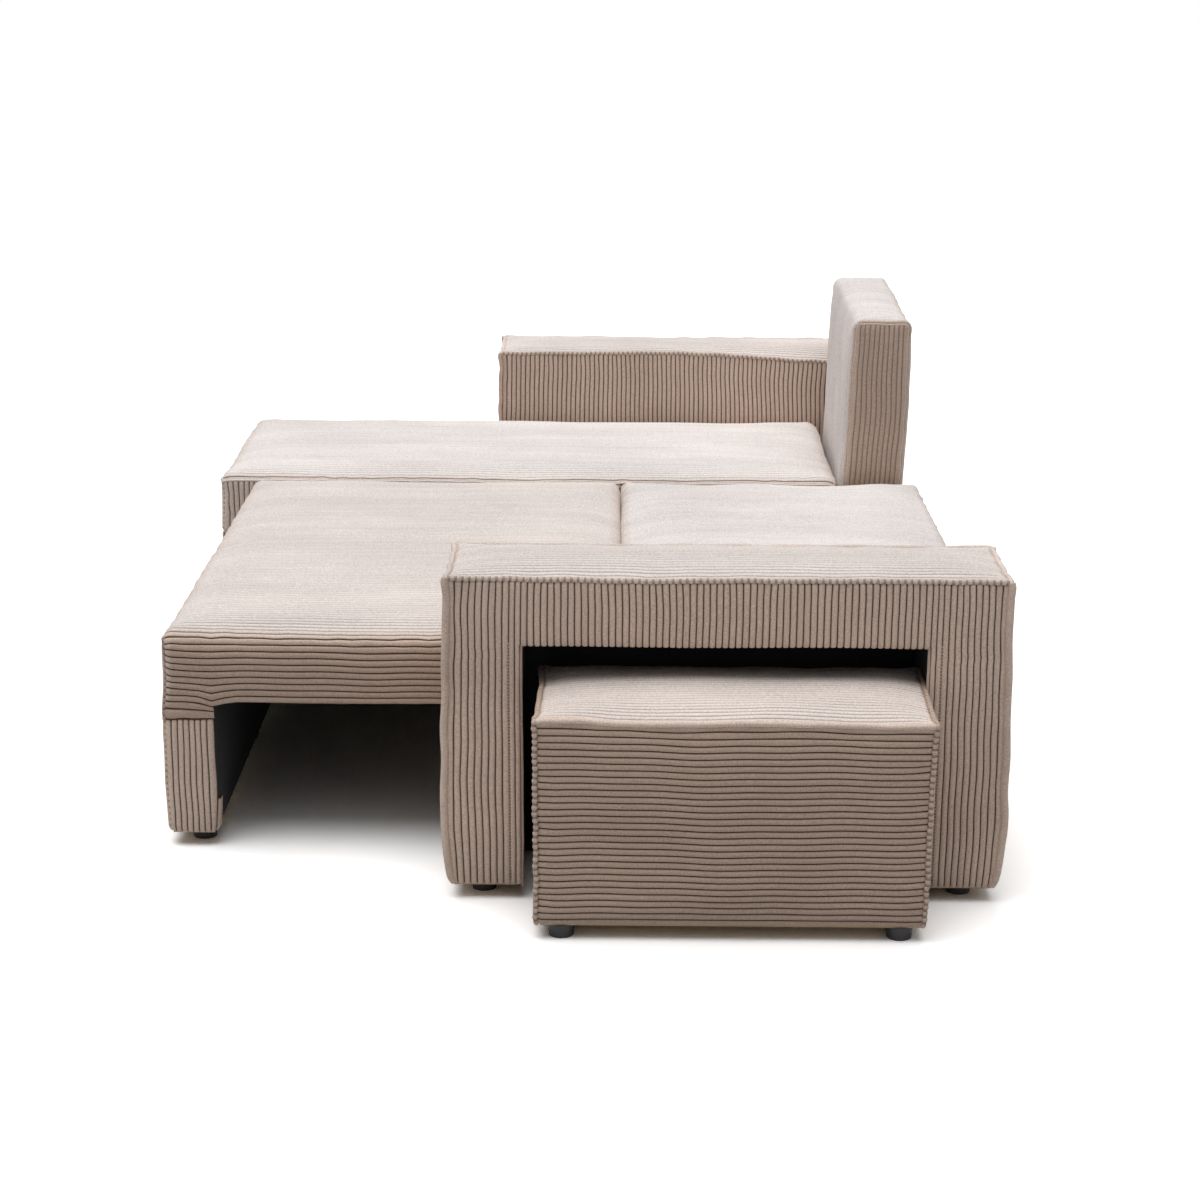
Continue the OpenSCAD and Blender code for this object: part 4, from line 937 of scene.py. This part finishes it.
class SOFA_OT_seat(bpy.types.Operator):
    """Pull-out seat cushion, with the front board that carries it"""

    bl_idname = "sofa.seat"
    bl_label = "Pull-out seat"

    def execute(self, context):
        cord, filling = context.scene.sofa_cord, context.scene.sofa_filling
        low, high = low_high("seat_cushion")
        board_low, board_high = low_high("front_board_cover")
        under_z, leg_y = low[Z], board_high[Y]
        ribs = round((high[Z] - under_z) / cord.rib_pitch)
        seam_z = under_z - BAND_RIBS * (high[Z] - under_z) / ribs
        low, high = (low[X], low[Y], seam_z), (high[X], high[Y], high[Z] - SEAT_CROWN)
        form = Form(low, high, (0.034, 0.020, 0.036), crown=0.006, seed=11, sway=0.0011, foot=0.005, ears=0.006)
        # painted light: the top lit, the front half-lit, near and far sides in painted shade
        form.painted_lights, form.cut = (PAINTED_LIGHT_ACROSS, 0.60, PAINTED_LIGHT_TOP), gathered_at(leg_y, under_z)
        form.fill({TOP: filling.top_rise, NEAR: filling.side_rise, FAR: filling.side_rise})
        l, h = form.low, form.high
        skin = Skin()
        skin.wrap(form, (TOP, FRONT), X)
        skin.face(form, REAR, X, low_z=under_z)
        for k, face in enumerate((NEAR, FAR)):
            skin.face(form, face, Z, 1 + k, low_z=under_z, ends=(1, 1))
            skin.face(form, face, Z, 3 + k, high_y=leg_y, high_z=under_z, ends=(1, 0))
        hem(skin, form, under_z, 5)
        cord_piece("seat_cord", skin, "corduroy_top", "seat", ["seat_cushion"])
        paths = []
        for x in (l[X], h[X]):
            paths += [post(form, x, y, z0, h[Z], 0.0015) for y, z0 in ((l[Y], l[Z]), (h[Y], under_z))]
        # the corner seams are painted in shade
        seam_piece("seat_seams", paths, "corduroy_top", "seat", radius=0.0036, painted_light=PAINTED_LIGHT_ACROSS)
        self.front_board(form, board_low, board_high, seam_z, under_z)
        return {"FINISHED"}

    def front_board(self, cushion, low, high, seam_z, under_z, wrap=0.030, flap=0.070):
        """The board below the front edge: ribs upright up to a seam, black cloth on the rear that stands in for the
        shade under the seat.
        """
        corner = (*np.minimum(low[:2], cushion.low[:2]), low[Z] - HANG)
        size = corner, (cushion.high[X], high[Y], under_z)
        board = Form(*size, (0.018, 0.014, 0.014), seed=cushion.seed, sway=cushion.sway, foot=0.018)
        board.bulge = 0.003
        l, h = board.low, board.high
        flap_z = l[Z] + flap
        skin = Skin()
        skin.face(board, FRONT, X, high_z=seam_z, ends=(0, 1))
        skin.sides(board, (NEAR, FAR), Y, high_z=seam_z, ends=(0, 1))
        for k, (x0, x1) in enumerate(((l[X], l[X] + wrap), (h[X] - wrap, h[X]))):
            skin.face(board, REAR, X, 3 + k, low_x=x0, high_x=x1, high_z=flap_z)
        cord_piece("front_board_cord", skin, "corduroy_side", "seat", ["front_board_cover"])
        dust = Skin()
        dust.face(board, BOTTOM, X, plain=True)
        # the rear panels in black cloth stand in for the shade under the seat
        panels = (l[X] + wrap, h[X] - wrap, l[Z]), (l[X], l[X] + wrap, flap_z), (h[X] - wrap, h[X], flap_z)
        for k, (x0, x1, z0) in enumerate(panels):
            dust.face(board, REAR, X, 1 + k, low_x=x0, high_x=x1, low_z=z0, plain=True)
        cord_piece("front_board_dust_cover_and_shade", dust, "black_lining", "seat")
        corners = [post(board, x, l[Y], l[Z] + 0.008, seam_z, 0.0008) for x in (l[X], h[X])]
        seam_piece("front_board_seams", corners, "corduroy_side", "seat", radius=0.0030)
        # a thin dark tube along the band's seam: painted shade in its crease
        places = [(l[X], h[Y], seam_z), (l[X], l[Y], seam_z), (h[X], l[Y], seam_z), (h[X], h[Y], seam_z)]
        band = [path_on(board, places, -0.0005)]
        seam_piece("front_board_band_seam", band, "corduroy_side", "seat", kind="crease_shade", radius=0.0016)


class SOFA_OT_back_panel(bpy.types.Operator):
    """Back panel cushion, which lies flat behind the seat"""

    bl_idname = "sofa.back_panel"
    bl_label = "Back panel"

    def execute(self, context):
        filling = context.scene.sofa_filling
        low, high = low_high("panel_cushion")
        size = shaped(low, high, high_z=-SEAT_CROWN)
        form = Form(*size, (0.034, 0.016, 0.036), crown=0.006, seed=21, foot=0.012, ears=0.004)
        # painted light: the top painted brighter than the seat's, as it lies further back; the sides in painted shade
        form.painted_lights, form.under = (PAINTED_LIGHT_ACROSS, 0.70, PAINTED_LIGHT_BRIGHT), low[Z] + 0.0006
        form.fill({TOP: filling.top_rise, NEAR: filling.side_rise, FAR: filling.side_rise})
        skin = Skin()
        skin.wrap(form, (TOP, FRONT, REAR), X)
        skin.sides(form, (NEAR, FAR), Z, ends=(1, 1))
        skin.face(form, BOTTOM, X, 3, plain=True)
        cord_piece("back_panel_cord", skin, "corduroy_top", "back_panel", ["panel_cushion"])
        paths = posts(form, form.low[Z], form.high[Z], 0.001)
        seam_piece("back_panel_seams", paths, "corduroy_top", "back_panel", radius=0.0030)
        return {"FINISHED"}


class SOFA_OT_chaise(bpy.types.Operator):
    """Chaise: its lid cushion, its box cover and its backrest"""

    bl_idname = "sofa.chaise"
    bl_label = "Chaise"

    def execute(self, context):
        filling = context.scene.sofa_filling
        self.lid(filling)
        self.box()
        self.backrest(filling)
        return {"FINISHED"}

    def lid(self, filling):
        low, high = low_high("lid_cushion")
        size = shaped(low, high, high_z=-LID_CROWN, low_x=0.004, high_y=0.005)
        lid = Form(*size, (0.020, 0.024, 0.022), crown=0.004, seed=31, foot=0.008, ears=0.005)
        # painted light: the top painted brightest, the sides half-lit
        lid.painted_lights, lid.under = (0.55, 0.55, PAINTED_LIGHT_BRIGHT), low[Z] + 0.0010
        lid.fill({TOP: filling.top_rise})
        seam_z = lid.high[Z] - 0.012
        skin = Skin()
        skin.face(lid, TOP, X)
        skin.wrap(lid, (FRONT, REAR), X, extra=(seam_z,))
        for k, face in enumerate((NEAR, FAR)):
            skin.face(lid, face, Z, 1 + k, low_z=seam_z, ends=(1, 1))
            skin.face(lid, face, Y, 3 + k, high_z=seam_z, ends=(0, 1))
        skin.face(lid, BOTTOM, X, 5, plain=True)
        cord_piece("chaise_lid_cord", skin, "corduroy_top", "chaise_lid", ["lid_cushion"])
        near, rim = near_and_rim(lid, seam_z, 0.002)
        seam_piece("chaise_lid_near_seam", near, "corduroy_side", "chaise_lid", kind="plain", radius=0.0030, painted_light=0.8)
        rim += posts(lid, lid.low[Z], seam_z, 0.0005)
        seam_piece("chaise_lid_seams", rim, "corduroy_side", "chaise_lid", radius=0.0040, painted_light=0.6)

    def box(self):
        box = Form(*shaped(*low_high("chaise_cover"), low_z=-HANG), (0.014, 0.014, 0.006), seed=32)
        skin = Skin()
        skin.wrap(box, (FRONT, REAR), X)
        skin.wrap(box, (NEAR, FAR), Y)
        cord_piece("chaise_box_cord", skin, "corduroy_side", "root", ["chaise_cover"])
        dust_cover("chaise_dust_cover", box, "root")

    def backrest(self, filling):
        size = shaped(*low_high("backrest_cushion"), low_y=0.019)
        form = Form(*size, (0.008, 0.020, 0.022), crown=0.004, seed=33, foot=0.008, ears=0.002)
        # painted light: the front, which faces the light, and the top painted brightest, the rear darker, the ends in
        # painted shade
        form.lean, form.painted_lights, form.rear_painted_light = (0.016, 0.010), (0.12, PAINTED_LIGHT_BRIGHT, PAINTED_LIGHT_BRIGHT), 0.45
        form.fill({FRONT: 0.006, REAR: 0.006, NEAR: 0.003, FAR: 0.003, TOP: 0.006})
        skin = Skin()
        skin.wrap(form, (TOP, FRONT, REAR), X)
        # the painted shade in the grooves of the ends is lifted
        skin.sides(form, (NEAR, FAR), Y, ends=(0, 1), soft=0.55)
        cord_piece("backrest_cord", skin, "corduroy_top", "root", ["backrest_cushion"])
        l, h = form.low, form.high
        paths = []
        for x in (l[X], h[X]):
            outline = [(x, l[Y], l[Z]), (x, l[Y], h[Z]), (x, h[Y], h[Z]), (x, h[Y], l[Z])]
            paths.append(path_on(form, outline, 0.001))
        seam_piece("backrest_seams", paths, "corduroy_top", "root", kind="plain", radius=0.0024, painted_light=0.45)


def arch_rounding(x_out, low, high, radius):
    """Rounds the edge between the outer face of the arch and its niche. low and high are the niche in Y and Z."""

    def rounded(p):
        y, z = p[..., Y], p[..., Z]
        near_y, near_z = np.clip(y, low[0], high[0]), np.clip(z, low[1], high[1])
        gap = np.stack([y - near_y, z - near_z], -1)
        d = np.linalg.norm(gap, axis=-1)
        past_y = (y >= high[0] - SLIGHT) * 1.0 - (y <= low[0] + SLIGHT) * 1.0
        edge = np.stack([past_y, (z >= high[1] - SLIGHT) * 1.0], -1)
        way = np.where(d[..., None] > SLIGHT, gap / np.maximum(d, TINY)[..., None], edge)
        way = way / np.maximum(np.linalg.norm(way, axis=-1, keepdims=True), TINY)
        deep = x_out - p[..., X]
        c_n, c_x = np.maximum(d, radius), np.maximum(deep, radius)
        v = np.stack([c_n - d, c_x - deep], -1) / radius
        v = v / np.maximum(np.linalg.norm(v, axis=-1), 1.0)[..., None]
        new_d, new_x = c_n - radius * v[..., 0], c_x - radius * v[..., 1]
        out = p.copy()
        out[..., Y] += way[..., 0] * (new_d - d)
        out[..., Z] += way[..., 1] * (new_d - d)
        out[..., X] = x_out - new_x
        return out

    return rounded


ARMREST_SHAPE = {"radii": (0.013, 0.013, 0.013), "foot": 0.020}
SEAM_START = 0.005  # height above the lower edge where a corner seam starts
SEAM_INSET = 0.0205  # from the niche to the stitched line on a leg
TURN_IN = 0.014  # how far the cord turns into the niche
TACK = 0.007  # half the width of the bar tack at a stitched line's head


class SOFA_OT_arch_armrest(bpy.types.Operator):
    """Arch armrest with the niche for the pouf"""

    bl_idname = "sofa.arch_armrest"
    bl_label = "Arch armrest"

    def execute(self, context):
        filling = context.scene.sofa_filling
        size = shaped(*low_high("arm_near_cover", "arm_near_top_pad"), high_z=-PAD_CROWN, low_z=-HANG)
        form = Form(*size, **ARMREST_SHAPE, crown=0.006, seed=41, sway=0.0009, ears=0.005)
        form.bulge = 0.008
        form.fill({TOP: filling.top_rise})
        low, high = low_high("niche_lining")
        niche = low[Y], high[Y], high[Z]
        form.cut = arch_rounding(form.high[X], (low[Y], -1), (high[Y], high[Z]), 0.009)
        padded_top("arch_armrest_top", form, "root", "arm_near_top_pad")
        skin = Skin()
        self.outer_face(skin, form, *niche)
        skin.face(form, FAR, Y, 1, ends=(0, 1))
        skin.sides(form, (FRONT, REAR), X, 2, ends=(0, 1))
        self.reveals(context.scene.sofa_cord, skin, form, *niche)
        cord_piece("arch_armrest_cord", skin, "corduroy_side", "root", ["arm_near_cover"])
        self.dust_covers_and_niche_shade(form, *niche, high[X])
        l, h = form.low, form.high
        top_seams("arch_armrest", form, 0.0045, radius=0.0058, painted_light=0.5)
        paths = []
        for x, out in ((l[X], 0.0022), (h[X], 0.0066)):
            paths += [drawn_in(form, post(form, x, y, l[Z] + SEAM_START, h[Z], out)) for y in (l[Y], h[Y])]
        seam_piece("arch_armrest_corner_seams", paths, "corduroy_side", "root", radius=0.0070, kind="plain")
        self.stitches(form, *niche)
        return {"FINISHED"}

    def outer_face(self, skin, form, y0, y1, arch_z):
        """The near face in strips round the niche. Its ribs swerve a little at the heads of the legs."""
        turn = tuple(arch_z + gap for gap in (0.002, 0.004, 0.007, 0.010))
        kink = arch_z - 0.012
        bends = tuple(kink + gap for gap in (-0.024, -0.016, -0.008, 0, 0.008))
        ys = (form.low[Y], y0 - SEAM_INSET, y0), (y1, y1 + SEAM_INSET, form.high[Y])
        for a, b in [pair for leg in ys for pair in zip(leg[:-1], leg[1:])]:
            skin.face(form, NEAR, Y, low_y=a, high_y=b, high_z=arch_z, extra=bends, kink=kink)
            skin.face(form, NEAR, Y, low_y=a, high_y=b, low_z=arch_z, extra=turn, ends=(0, 1), kink=kink)
        skin.face(form, NEAR, Y, low_y=y0, high_y=y1, low_z=arch_z, extra=turn, ends=(0, 1))

    def reveals(self, cord, skin, form, y0, y1, arch_z):
        """The inner sides of the legs and the underside of the arch, turned over from the outer face."""
        x_out = form.high[X]
        ribs = max(1, round((form.length_at(Y, y1) - form.length_at(Y, y0)) / cord.rib_pitch))
        y, depth = np.linspace(y0, y1, ribs * cord.rib_steps + 1), np.array([0, 0.002, 0.004, 0.007, 0.010, TURN_IN])
        self.reveal(skin, 0, form, ribs, (x_out - depth[None, :], y[:, None], arch_z), True)
        ribs = max(1, round(TURN_IN / cord.rib_pitch))
        x, z = np.linspace(x_out, x_out - TURN_IN, ribs * cord.rib_steps + 1), np.linspace(form.low[Z], arch_z, 22)
        for k, (side, flip) in enumerate(((y0, False), (y1, True))):
            self.reveal(skin, 5 + k, form, ribs, (x[:, None], side, z[None, :]), flip)

    def reveal(self, skin, group, form, ribs, places, flip):
        """A strip of cord that lines the niche."""
        q = np.stack(np.broadcast_arrays(*places), -1).astype(float)
        wale = np.broadcast_to(np.linspace(0, ribs, q.shape[0])[:, None], q.shape[:2])
        p = form.cut(q.copy())
        p = p + form.ripple(q, form.sway, LONG_WAVE, form.seed)
        p = p + form.ripple(q, form.pucker, SHORT_WAVE, form.seed + 7) * form.edge_mask(q)[..., None]
        skin.add(group, p, wale, np.ones(q.shape[:2]), flip)

    def dust_covers_and_niche_shade(self, form, y0, y1, arch_z, x_in, inset=0.018):
        """Black cloth below the legs, and on the walls of the niche, where it stands in for the deep shade there."""
        dust = Skin()
        l, h = form.low, form.high
        for k, (a, b) in enumerate(((l[Y], y0), (y1, h[Y]))):
            q = np.zeros((2, 2, 3))
            q[..., X] = np.array([l[X] + inset, h[X] - inset])[:, None]
            q[..., Y] = np.array([a + inset, b - inset])[None, :]
            q[..., Z] = l[Z] + 0.001
            dust.plain(k, q, True)
        # black cloth on the niche walls: a dark sheet in place of the niche's shade
        line = np.array([(y0, l[Z]), (y0, arch_z), (y1, arch_z), (y1, l[Z])])
        q = np.zeros((4, 2, 3))
        q[..., Y], q[..., Z] = line[:, :1], line[:, 1:]
        q[..., X] = (h[X] - TURN_IN, x_in)
        dust.plain(3, q, False)
        cord_piece("arch_armrest_dust_covers_and_niche_shade", dust, "black_lining", "root")

    def stitches(self, form, y0, y1, arch_z):
        """The stitched line beside the niche on each leg, with a bar tack at its head."""
        x, low_z, high_z = form.high[X], form.low[Z] + 0.01, arch_z + 0.004
        beside = y0 - SEAM_INSET, y1 + SEAM_INSET
        lines = [path_on(form, [(x, y, low_z), (x, y, high_z)], 0.0004, NEAR) for y in beside]
        # the stitched lines are thin dark tubes: painted shade in their creases
        seam_piece("arch_armrest_leg_seams", lines, "corduroy_side", "root", kind="crease_shade", radius=0.0024)
        tacks = []
        for points in lines:
            head = points[-1] + np.array([0.0012, 0, 0])
            tacks += [head + np.array([[0, -TACK, step], [0, TACK, step]]) for step in (0, -0.002, -0.004)]
        rows = [points + np.array([0.0022, 0, 0]) for points in lines] + tacks
        values = {"Pitch": 0.0060, "Radius": 0.0010, "Thread": FINISHES["seam_thread"]}
        row = grow("arch_armrest_stitches", edge_mesh("stitches", rows), "stitch", values)
        finish_piece(row, "root")


def sagging(form, depth=0.017, rise=0.004, middle=0.45, reach=(0.08, 0.12)):
    """Lets the near edge of a padded top hang towards the rear, as the cover is pulled down there.

    middle is the share of the length at which the sag starts. reach is how far it goes in X and Z.
    """

    def sagged(p):
        t = (p[..., Y] - form.low[Y]) / (form.high[Y] - form.low[Y])
        drop = eased(depth, np.clip((t - middle) / middle, 0, 1)) - rise * np.exp(-(((t - middle) / 0.2) ** 2))
        across = np.clip((p[..., X] - form.high[X]) / reach[0] + 1, 0, 1)
        up = np.clip((p[..., Z] - form.high[Z]) / reach[1] + 1, 0, 1)
        out = p.copy()
        out[..., Z] -= drop * across**2 * up**2
        return out

    return sagged


class SOFA_OT_block_armrest(bpy.types.Operator):
    """Block armrest at the far end"""

    bl_idname = "sofa.block_armrest"
    bl_label = "Block armrest"

    def execute(self, context):
        filling = context.scene.sofa_filling
        size = shaped(*low_high("arm_far_cover", "arm_far_top_pad"), high_z=-PAD_CROWN, low_z=-HANG)
        form = Form(*size, **ARMREST_SHAPE, crown=0.003, seed=51, sway=0.0013, ears=0.006)
        form.bulge, form.cut = 0.008, sagging(form)
        form.fill({TOP: filling.top_rise, NEAR: filling.side_rise})
        padded_top("block_armrest_top", form, "root", "arm_far_top_pad")
        skin = Skin()
        skin.sides(form, (NEAR, FAR), Y, 0, ends=(0, 1))
        skin.sides(form, (FRONT, REAR), X, 2, ends=(0, 1))
        cord_piece("block_armrest_cord", skin, "corduroy_side", "root", ["arm_far_cover"])
        dust_cover("block_armrest_dust_cover", form, "root")
        top_seams("block_armrest", form, 0.0030, radius=0.0054, painted_light=0.45)
        paths = [drawn_in(form, path) for path in posts(form, form.low[Z] + SEAM_START, form.high[Z], 0.0072)]
        seam_piece("block_armrest_corner_seams", paths, "corduroy_side", "root", radius=0.0050, kind="plain")
        return {"FINISHED"}


POUF_GAP = 0.008  # room that the pouf's far side keeps to the wall of the niche


class SOFA_OT_pouf(bpy.types.Operator):
    """Pouf that is kept in the arch armrest"""

    bl_idname = "sofa.pouf"
    bl_label = "Pouf"

    def execute(self, context):
        filling = context.scene.sofa_filling
        size = shaped(*low_high("pouf_cover", "pouf_cushion"), high_z=-POUF_CROWN, low_z=-HANG, low_x=POUF_GAP)
        form = Form(*size, (0.011, 0.011, 0.013), crown=0.004, seed=61, foot=0.017, ears=0.006)
        # painted light: the top lit, all sides in painted shade
        form.painted_lights, form.lean = (PAINTED_LIGHT_ACROSS, PAINTED_LIGHT_ACROSS, 0.74), (0.005, 0.0)
        form.fill({TOP: filling.top_rise, NEAR: filling.side_rise})
        padded_top("pouf_top", form, "pouf", "pouf_cushion")
        skin = Skin()
        skin.sides(form, (NEAR, FAR, FRONT, REAR), Z, 0, ends=(1, 1))
        cord_piece("pouf_cord", skin, "corduroy_side", "pouf", ["pouf_cover"])
        dust_cover("pouf_dust_cover", form, "pouf")
        l, h = form.low, form.high
        rails = [path_on(form, [(x, l[Y], h[Z]), (x, h[Y], h[Z])], 0.002) for x in (l[X], h[X])]
        sides = []
        for y in (l[Y], h[Y]):
            sides.append(path_on(form, [(l[X], y, h[Z]), (h[X], y, h[Z])], 0.004))
            sides += [post(form, x, y, l[Z] + 0.004, h[Z], 0.004) for x in (l[X], h[X])]
        seam_piece("pouf_top_seams", rails, "corduroy_top", "pouf", radius=0.0052, kind="plain", painted_light=0.42)
        seam_piece("pouf_side_seams", sides, "corduroy_side", "pouf", radius=0.0052, painted_light=0.15)
        return {"FINISHED"}


class SOFA_OT_base(bpy.types.Operator):
    """Cord cover of the rear board behind the storage base"""

    bl_idname = "sofa.base"
    bl_label = "Rear board"

    def execute(self, context):
        size = shaped(*low_high("base_rear_cover"), low_z=-HANG, high_z=-0.004, low_y=0.003)
        form = Form(*size, (0.006, 0.006, 0.006), seed=71, sway=0.0008, pucker=0.0004)
        skin = Skin()
        skin.wrap(form, (REAR, TOP, FRONT), X)
        skin.sides(form, (NEAR, FAR), Y)
        cord_piece("rear_board_cord", skin, "corduroy_side", "root", ["base_rear_cover"])
        return {"FINISHED"}


class SOFA_OT_hardware(bpy.types.Operator):
    """Materials of the boards, steel, plastic and linings that stay as they are"""

    bl_idname = "sofa.hardware"
    bl_label = "Boards and fittings"

    def execute(self, context):
        slots = {s["node"]: s["material_slot"] for s in frame["record"]["subparts"]}
        for name, node in frame["nodes"].items():
            node.data.materials.clear()
            node.data.materials.append(FINISHES[slots[name]])
        return {"FINISHED"}


def seen_directly(tree):
    """1 for the camera, for reflections and through glass, 0 for light that falls on the object."""
    rays = tree.node("ShaderNodeLightPath").outputs
    first = tree.math("MAXIMUM", rays["Is Camera Ray"], rays["Is Glossy Ray"])
    return tree.math("MAXIMUM", first, rays["Is Transmission Ray"])


FLOOR_REACH = 30
KEY_WAY, KEY_ANGLE = (0.05, -0.15, 1.0), 55


class SOFA_OT_stage(bpy.types.Operator):
    """Floor, light and camera"""

    bl_idname = "sofa.stage"
    bl_label = "Stage"

    def execute(self, context):
        stage = context.scene.sofa_stage
        self.floor(context, stage)
        self.sky(context, stage)
        self.key(context, stage)
        self.camera(context, stage)
        return {"FINISHED"}

    def floor(self, context, stage):
        """A white floor that keeps the shadow and throws less light back than it shows."""
        mesh = bpy.data.meshes.new("floor")
        corners = [(a * FLOOR_REACH, b * FLOOR_REACH, 0) for a, b in ((-1, -1), (1, -1), (1, 1), (-1, 1))]
        mesh.from_pydata(corners, [], [(0, 1, 2, 3)])
        obj = bpy.data.objects.new("floor", mesh)
        context.scene.collection.objects.link(obj)
        t, shader = new_material("floor_white")
        dim, lit = ((level, level, level, 1) for level in (stage.bounce, stage.floor_level))
        paint = t.node("ShaderNodeBsdfDiffuse", {"Color": t.mix(seen_directly(t), dim, lit)})
        t.feed(t.tree.nodes["Material Output"], {"Surface": paint})
        t.tree.nodes.remove(shader)
        mesh.materials.append(FINISHES["floor_white"])

    def sky(self, context, stage):
        """An even light that grows towards the top of the sky, on a white backdrop."""
        world = context.scene.world = bpy.data.worlds.new("studio")
        world.use_nodes = True
        t = Tree(world.node_tree)
        place = t.node("ShaderNodeTexCoord").outputs["Generated"]
        height = t.node("ShaderNodeSeparateXYZ", {0: place}).outputs["Z"]
        steep = t.node("ShaderNodeMath", {0: height, 1: 3.0}, operation="POWER", use_clamp=True)
        dome = t.node("ShaderNodeMath", {0: steep, 1: stage.dome, 2: stage.sky}, operation="MULTIPLY_ADD")
        light = t.feed(t.tree.nodes["Background"], {"Color": WHITE, "Strength": dome})
        backdrop = t.node("ShaderNodeBackground", {"Color": WHITE, "Strength": 1.0})
        mixed = t.node("ShaderNodeMixShader", {"Fac": seen_directly(t), 1: light, 2: backdrop})
        t.feed(t.tree.nodes["World Output"], {"Surface": mixed})

    def key(self, context, stage):
        """The soft main light, nearly from above."""
        lamp = bpy.data.lights.new("key", "SUN")
        lamp.energy = stage.key
        lamp.angle = math.radians(KEY_ANGLE)
        obj = bpy.data.objects.new("key", lamp)
        d = np.array(KEY_WAY) / np.linalg.norm(KEY_WAY)
        obj.rotation_euler = (math.acos(d[2]), 0, math.atan2(d[0], -d[1]))
        context.scene.collection.objects.link(obj)

    def camera(self, context, stage):
        """The photograph's camera."""
        yaw, pitch, roll = (math.radians(a) for a in (stage.yaw, stage.pitch, stage.roll))
        look = np.array([-math.cos(yaw) * math.cos(pitch), -math.sin(yaw) * math.cos(pitch), -math.sin(pitch)])
        side = np.array([-math.sin(yaw), math.cos(yaw), 0.0])
        over = np.cross(side, look)
        right = math.cos(roll) * side + math.sin(roll) * over
        up = -math.sin(roll) * side + math.cos(roll) * over
        lens = bpy.data.cameras.new("camera")
        lens.lens = stage.lens
        lens.sensor_width = 36
        lens.clip_end = 200
        obj = bpy.data.objects.new("camera", lens)
        turn = Matrix(np.stack([right, up, -look], 1).tolist()).to_4x4()
        obj.matrix_world = Matrix.Translation(stage.eye) @ turn
        context.scene.collection.objects.link(obj)
        context.scene.camera = obj
        context.scene.view_settings.view_transform = "Standard"


PIECES = (
    SOFA_OT_materials,
    SOFA_OT_seat,
    SOFA_OT_back_panel,
    SOFA_OT_chaise,
    SOFA_OT_arch_armrest,
    SOFA_OT_block_armrest,
    SOFA_OT_pouf,
    SOFA_OT_base,
    SOFA_OT_hardware,
    SOFA_OT_stage,
)
GROUPS = {
    "sofa_cord": SofaCordSettings,
    "sofa_filling": SofaFillingSettings,
    "sofa_stage": SofaStageSettings,
}


class SOFA_PT_panel(bpy.types.Panel):
    """Lists the pieces and their sizes"""

    bl_label = "Sofa Bed"
    bl_idname = "SOFA_PT_panel"
    bl_space_type = "VIEW_3D"
    bl_region_type = "UI"
    bl_category = "Sofa Bed"

    def draw(self, context):
        for group in (getattr(context.scene, key) for key in GROUPS):
            for key in group.bl_rna.properties.keys():
                if key not in ("rna_type", "name"):
                    self.layout.prop(group, key)
        for piece in PIECES:
            self.layout.operator(piece.bl_idname)


CLASSES = (*GROUPS.values(), *PIECES, SOFA_PT_panel)


def register():
    for made in CLASSES:
        bpy.utils.register_class(made)
    for key, made in GROUPS.items():
        setattr(bpy.types.Scene, key, PointerProperty(type=made))


def unregister():
    for key in GROUPS:
        delattr(bpy.types.Scene, key)
    for made in reversed(CLASSES):
        bpy.utils.unregister_class(made)


def main():
    register()
    for piece in PIECES:
        group, name = piece.bl_idname.split(".")
        getattr(getattr(bpy.ops, group), name)()
    bpy.context.view_layer.update()


if __name__ == "__main__":
    main()
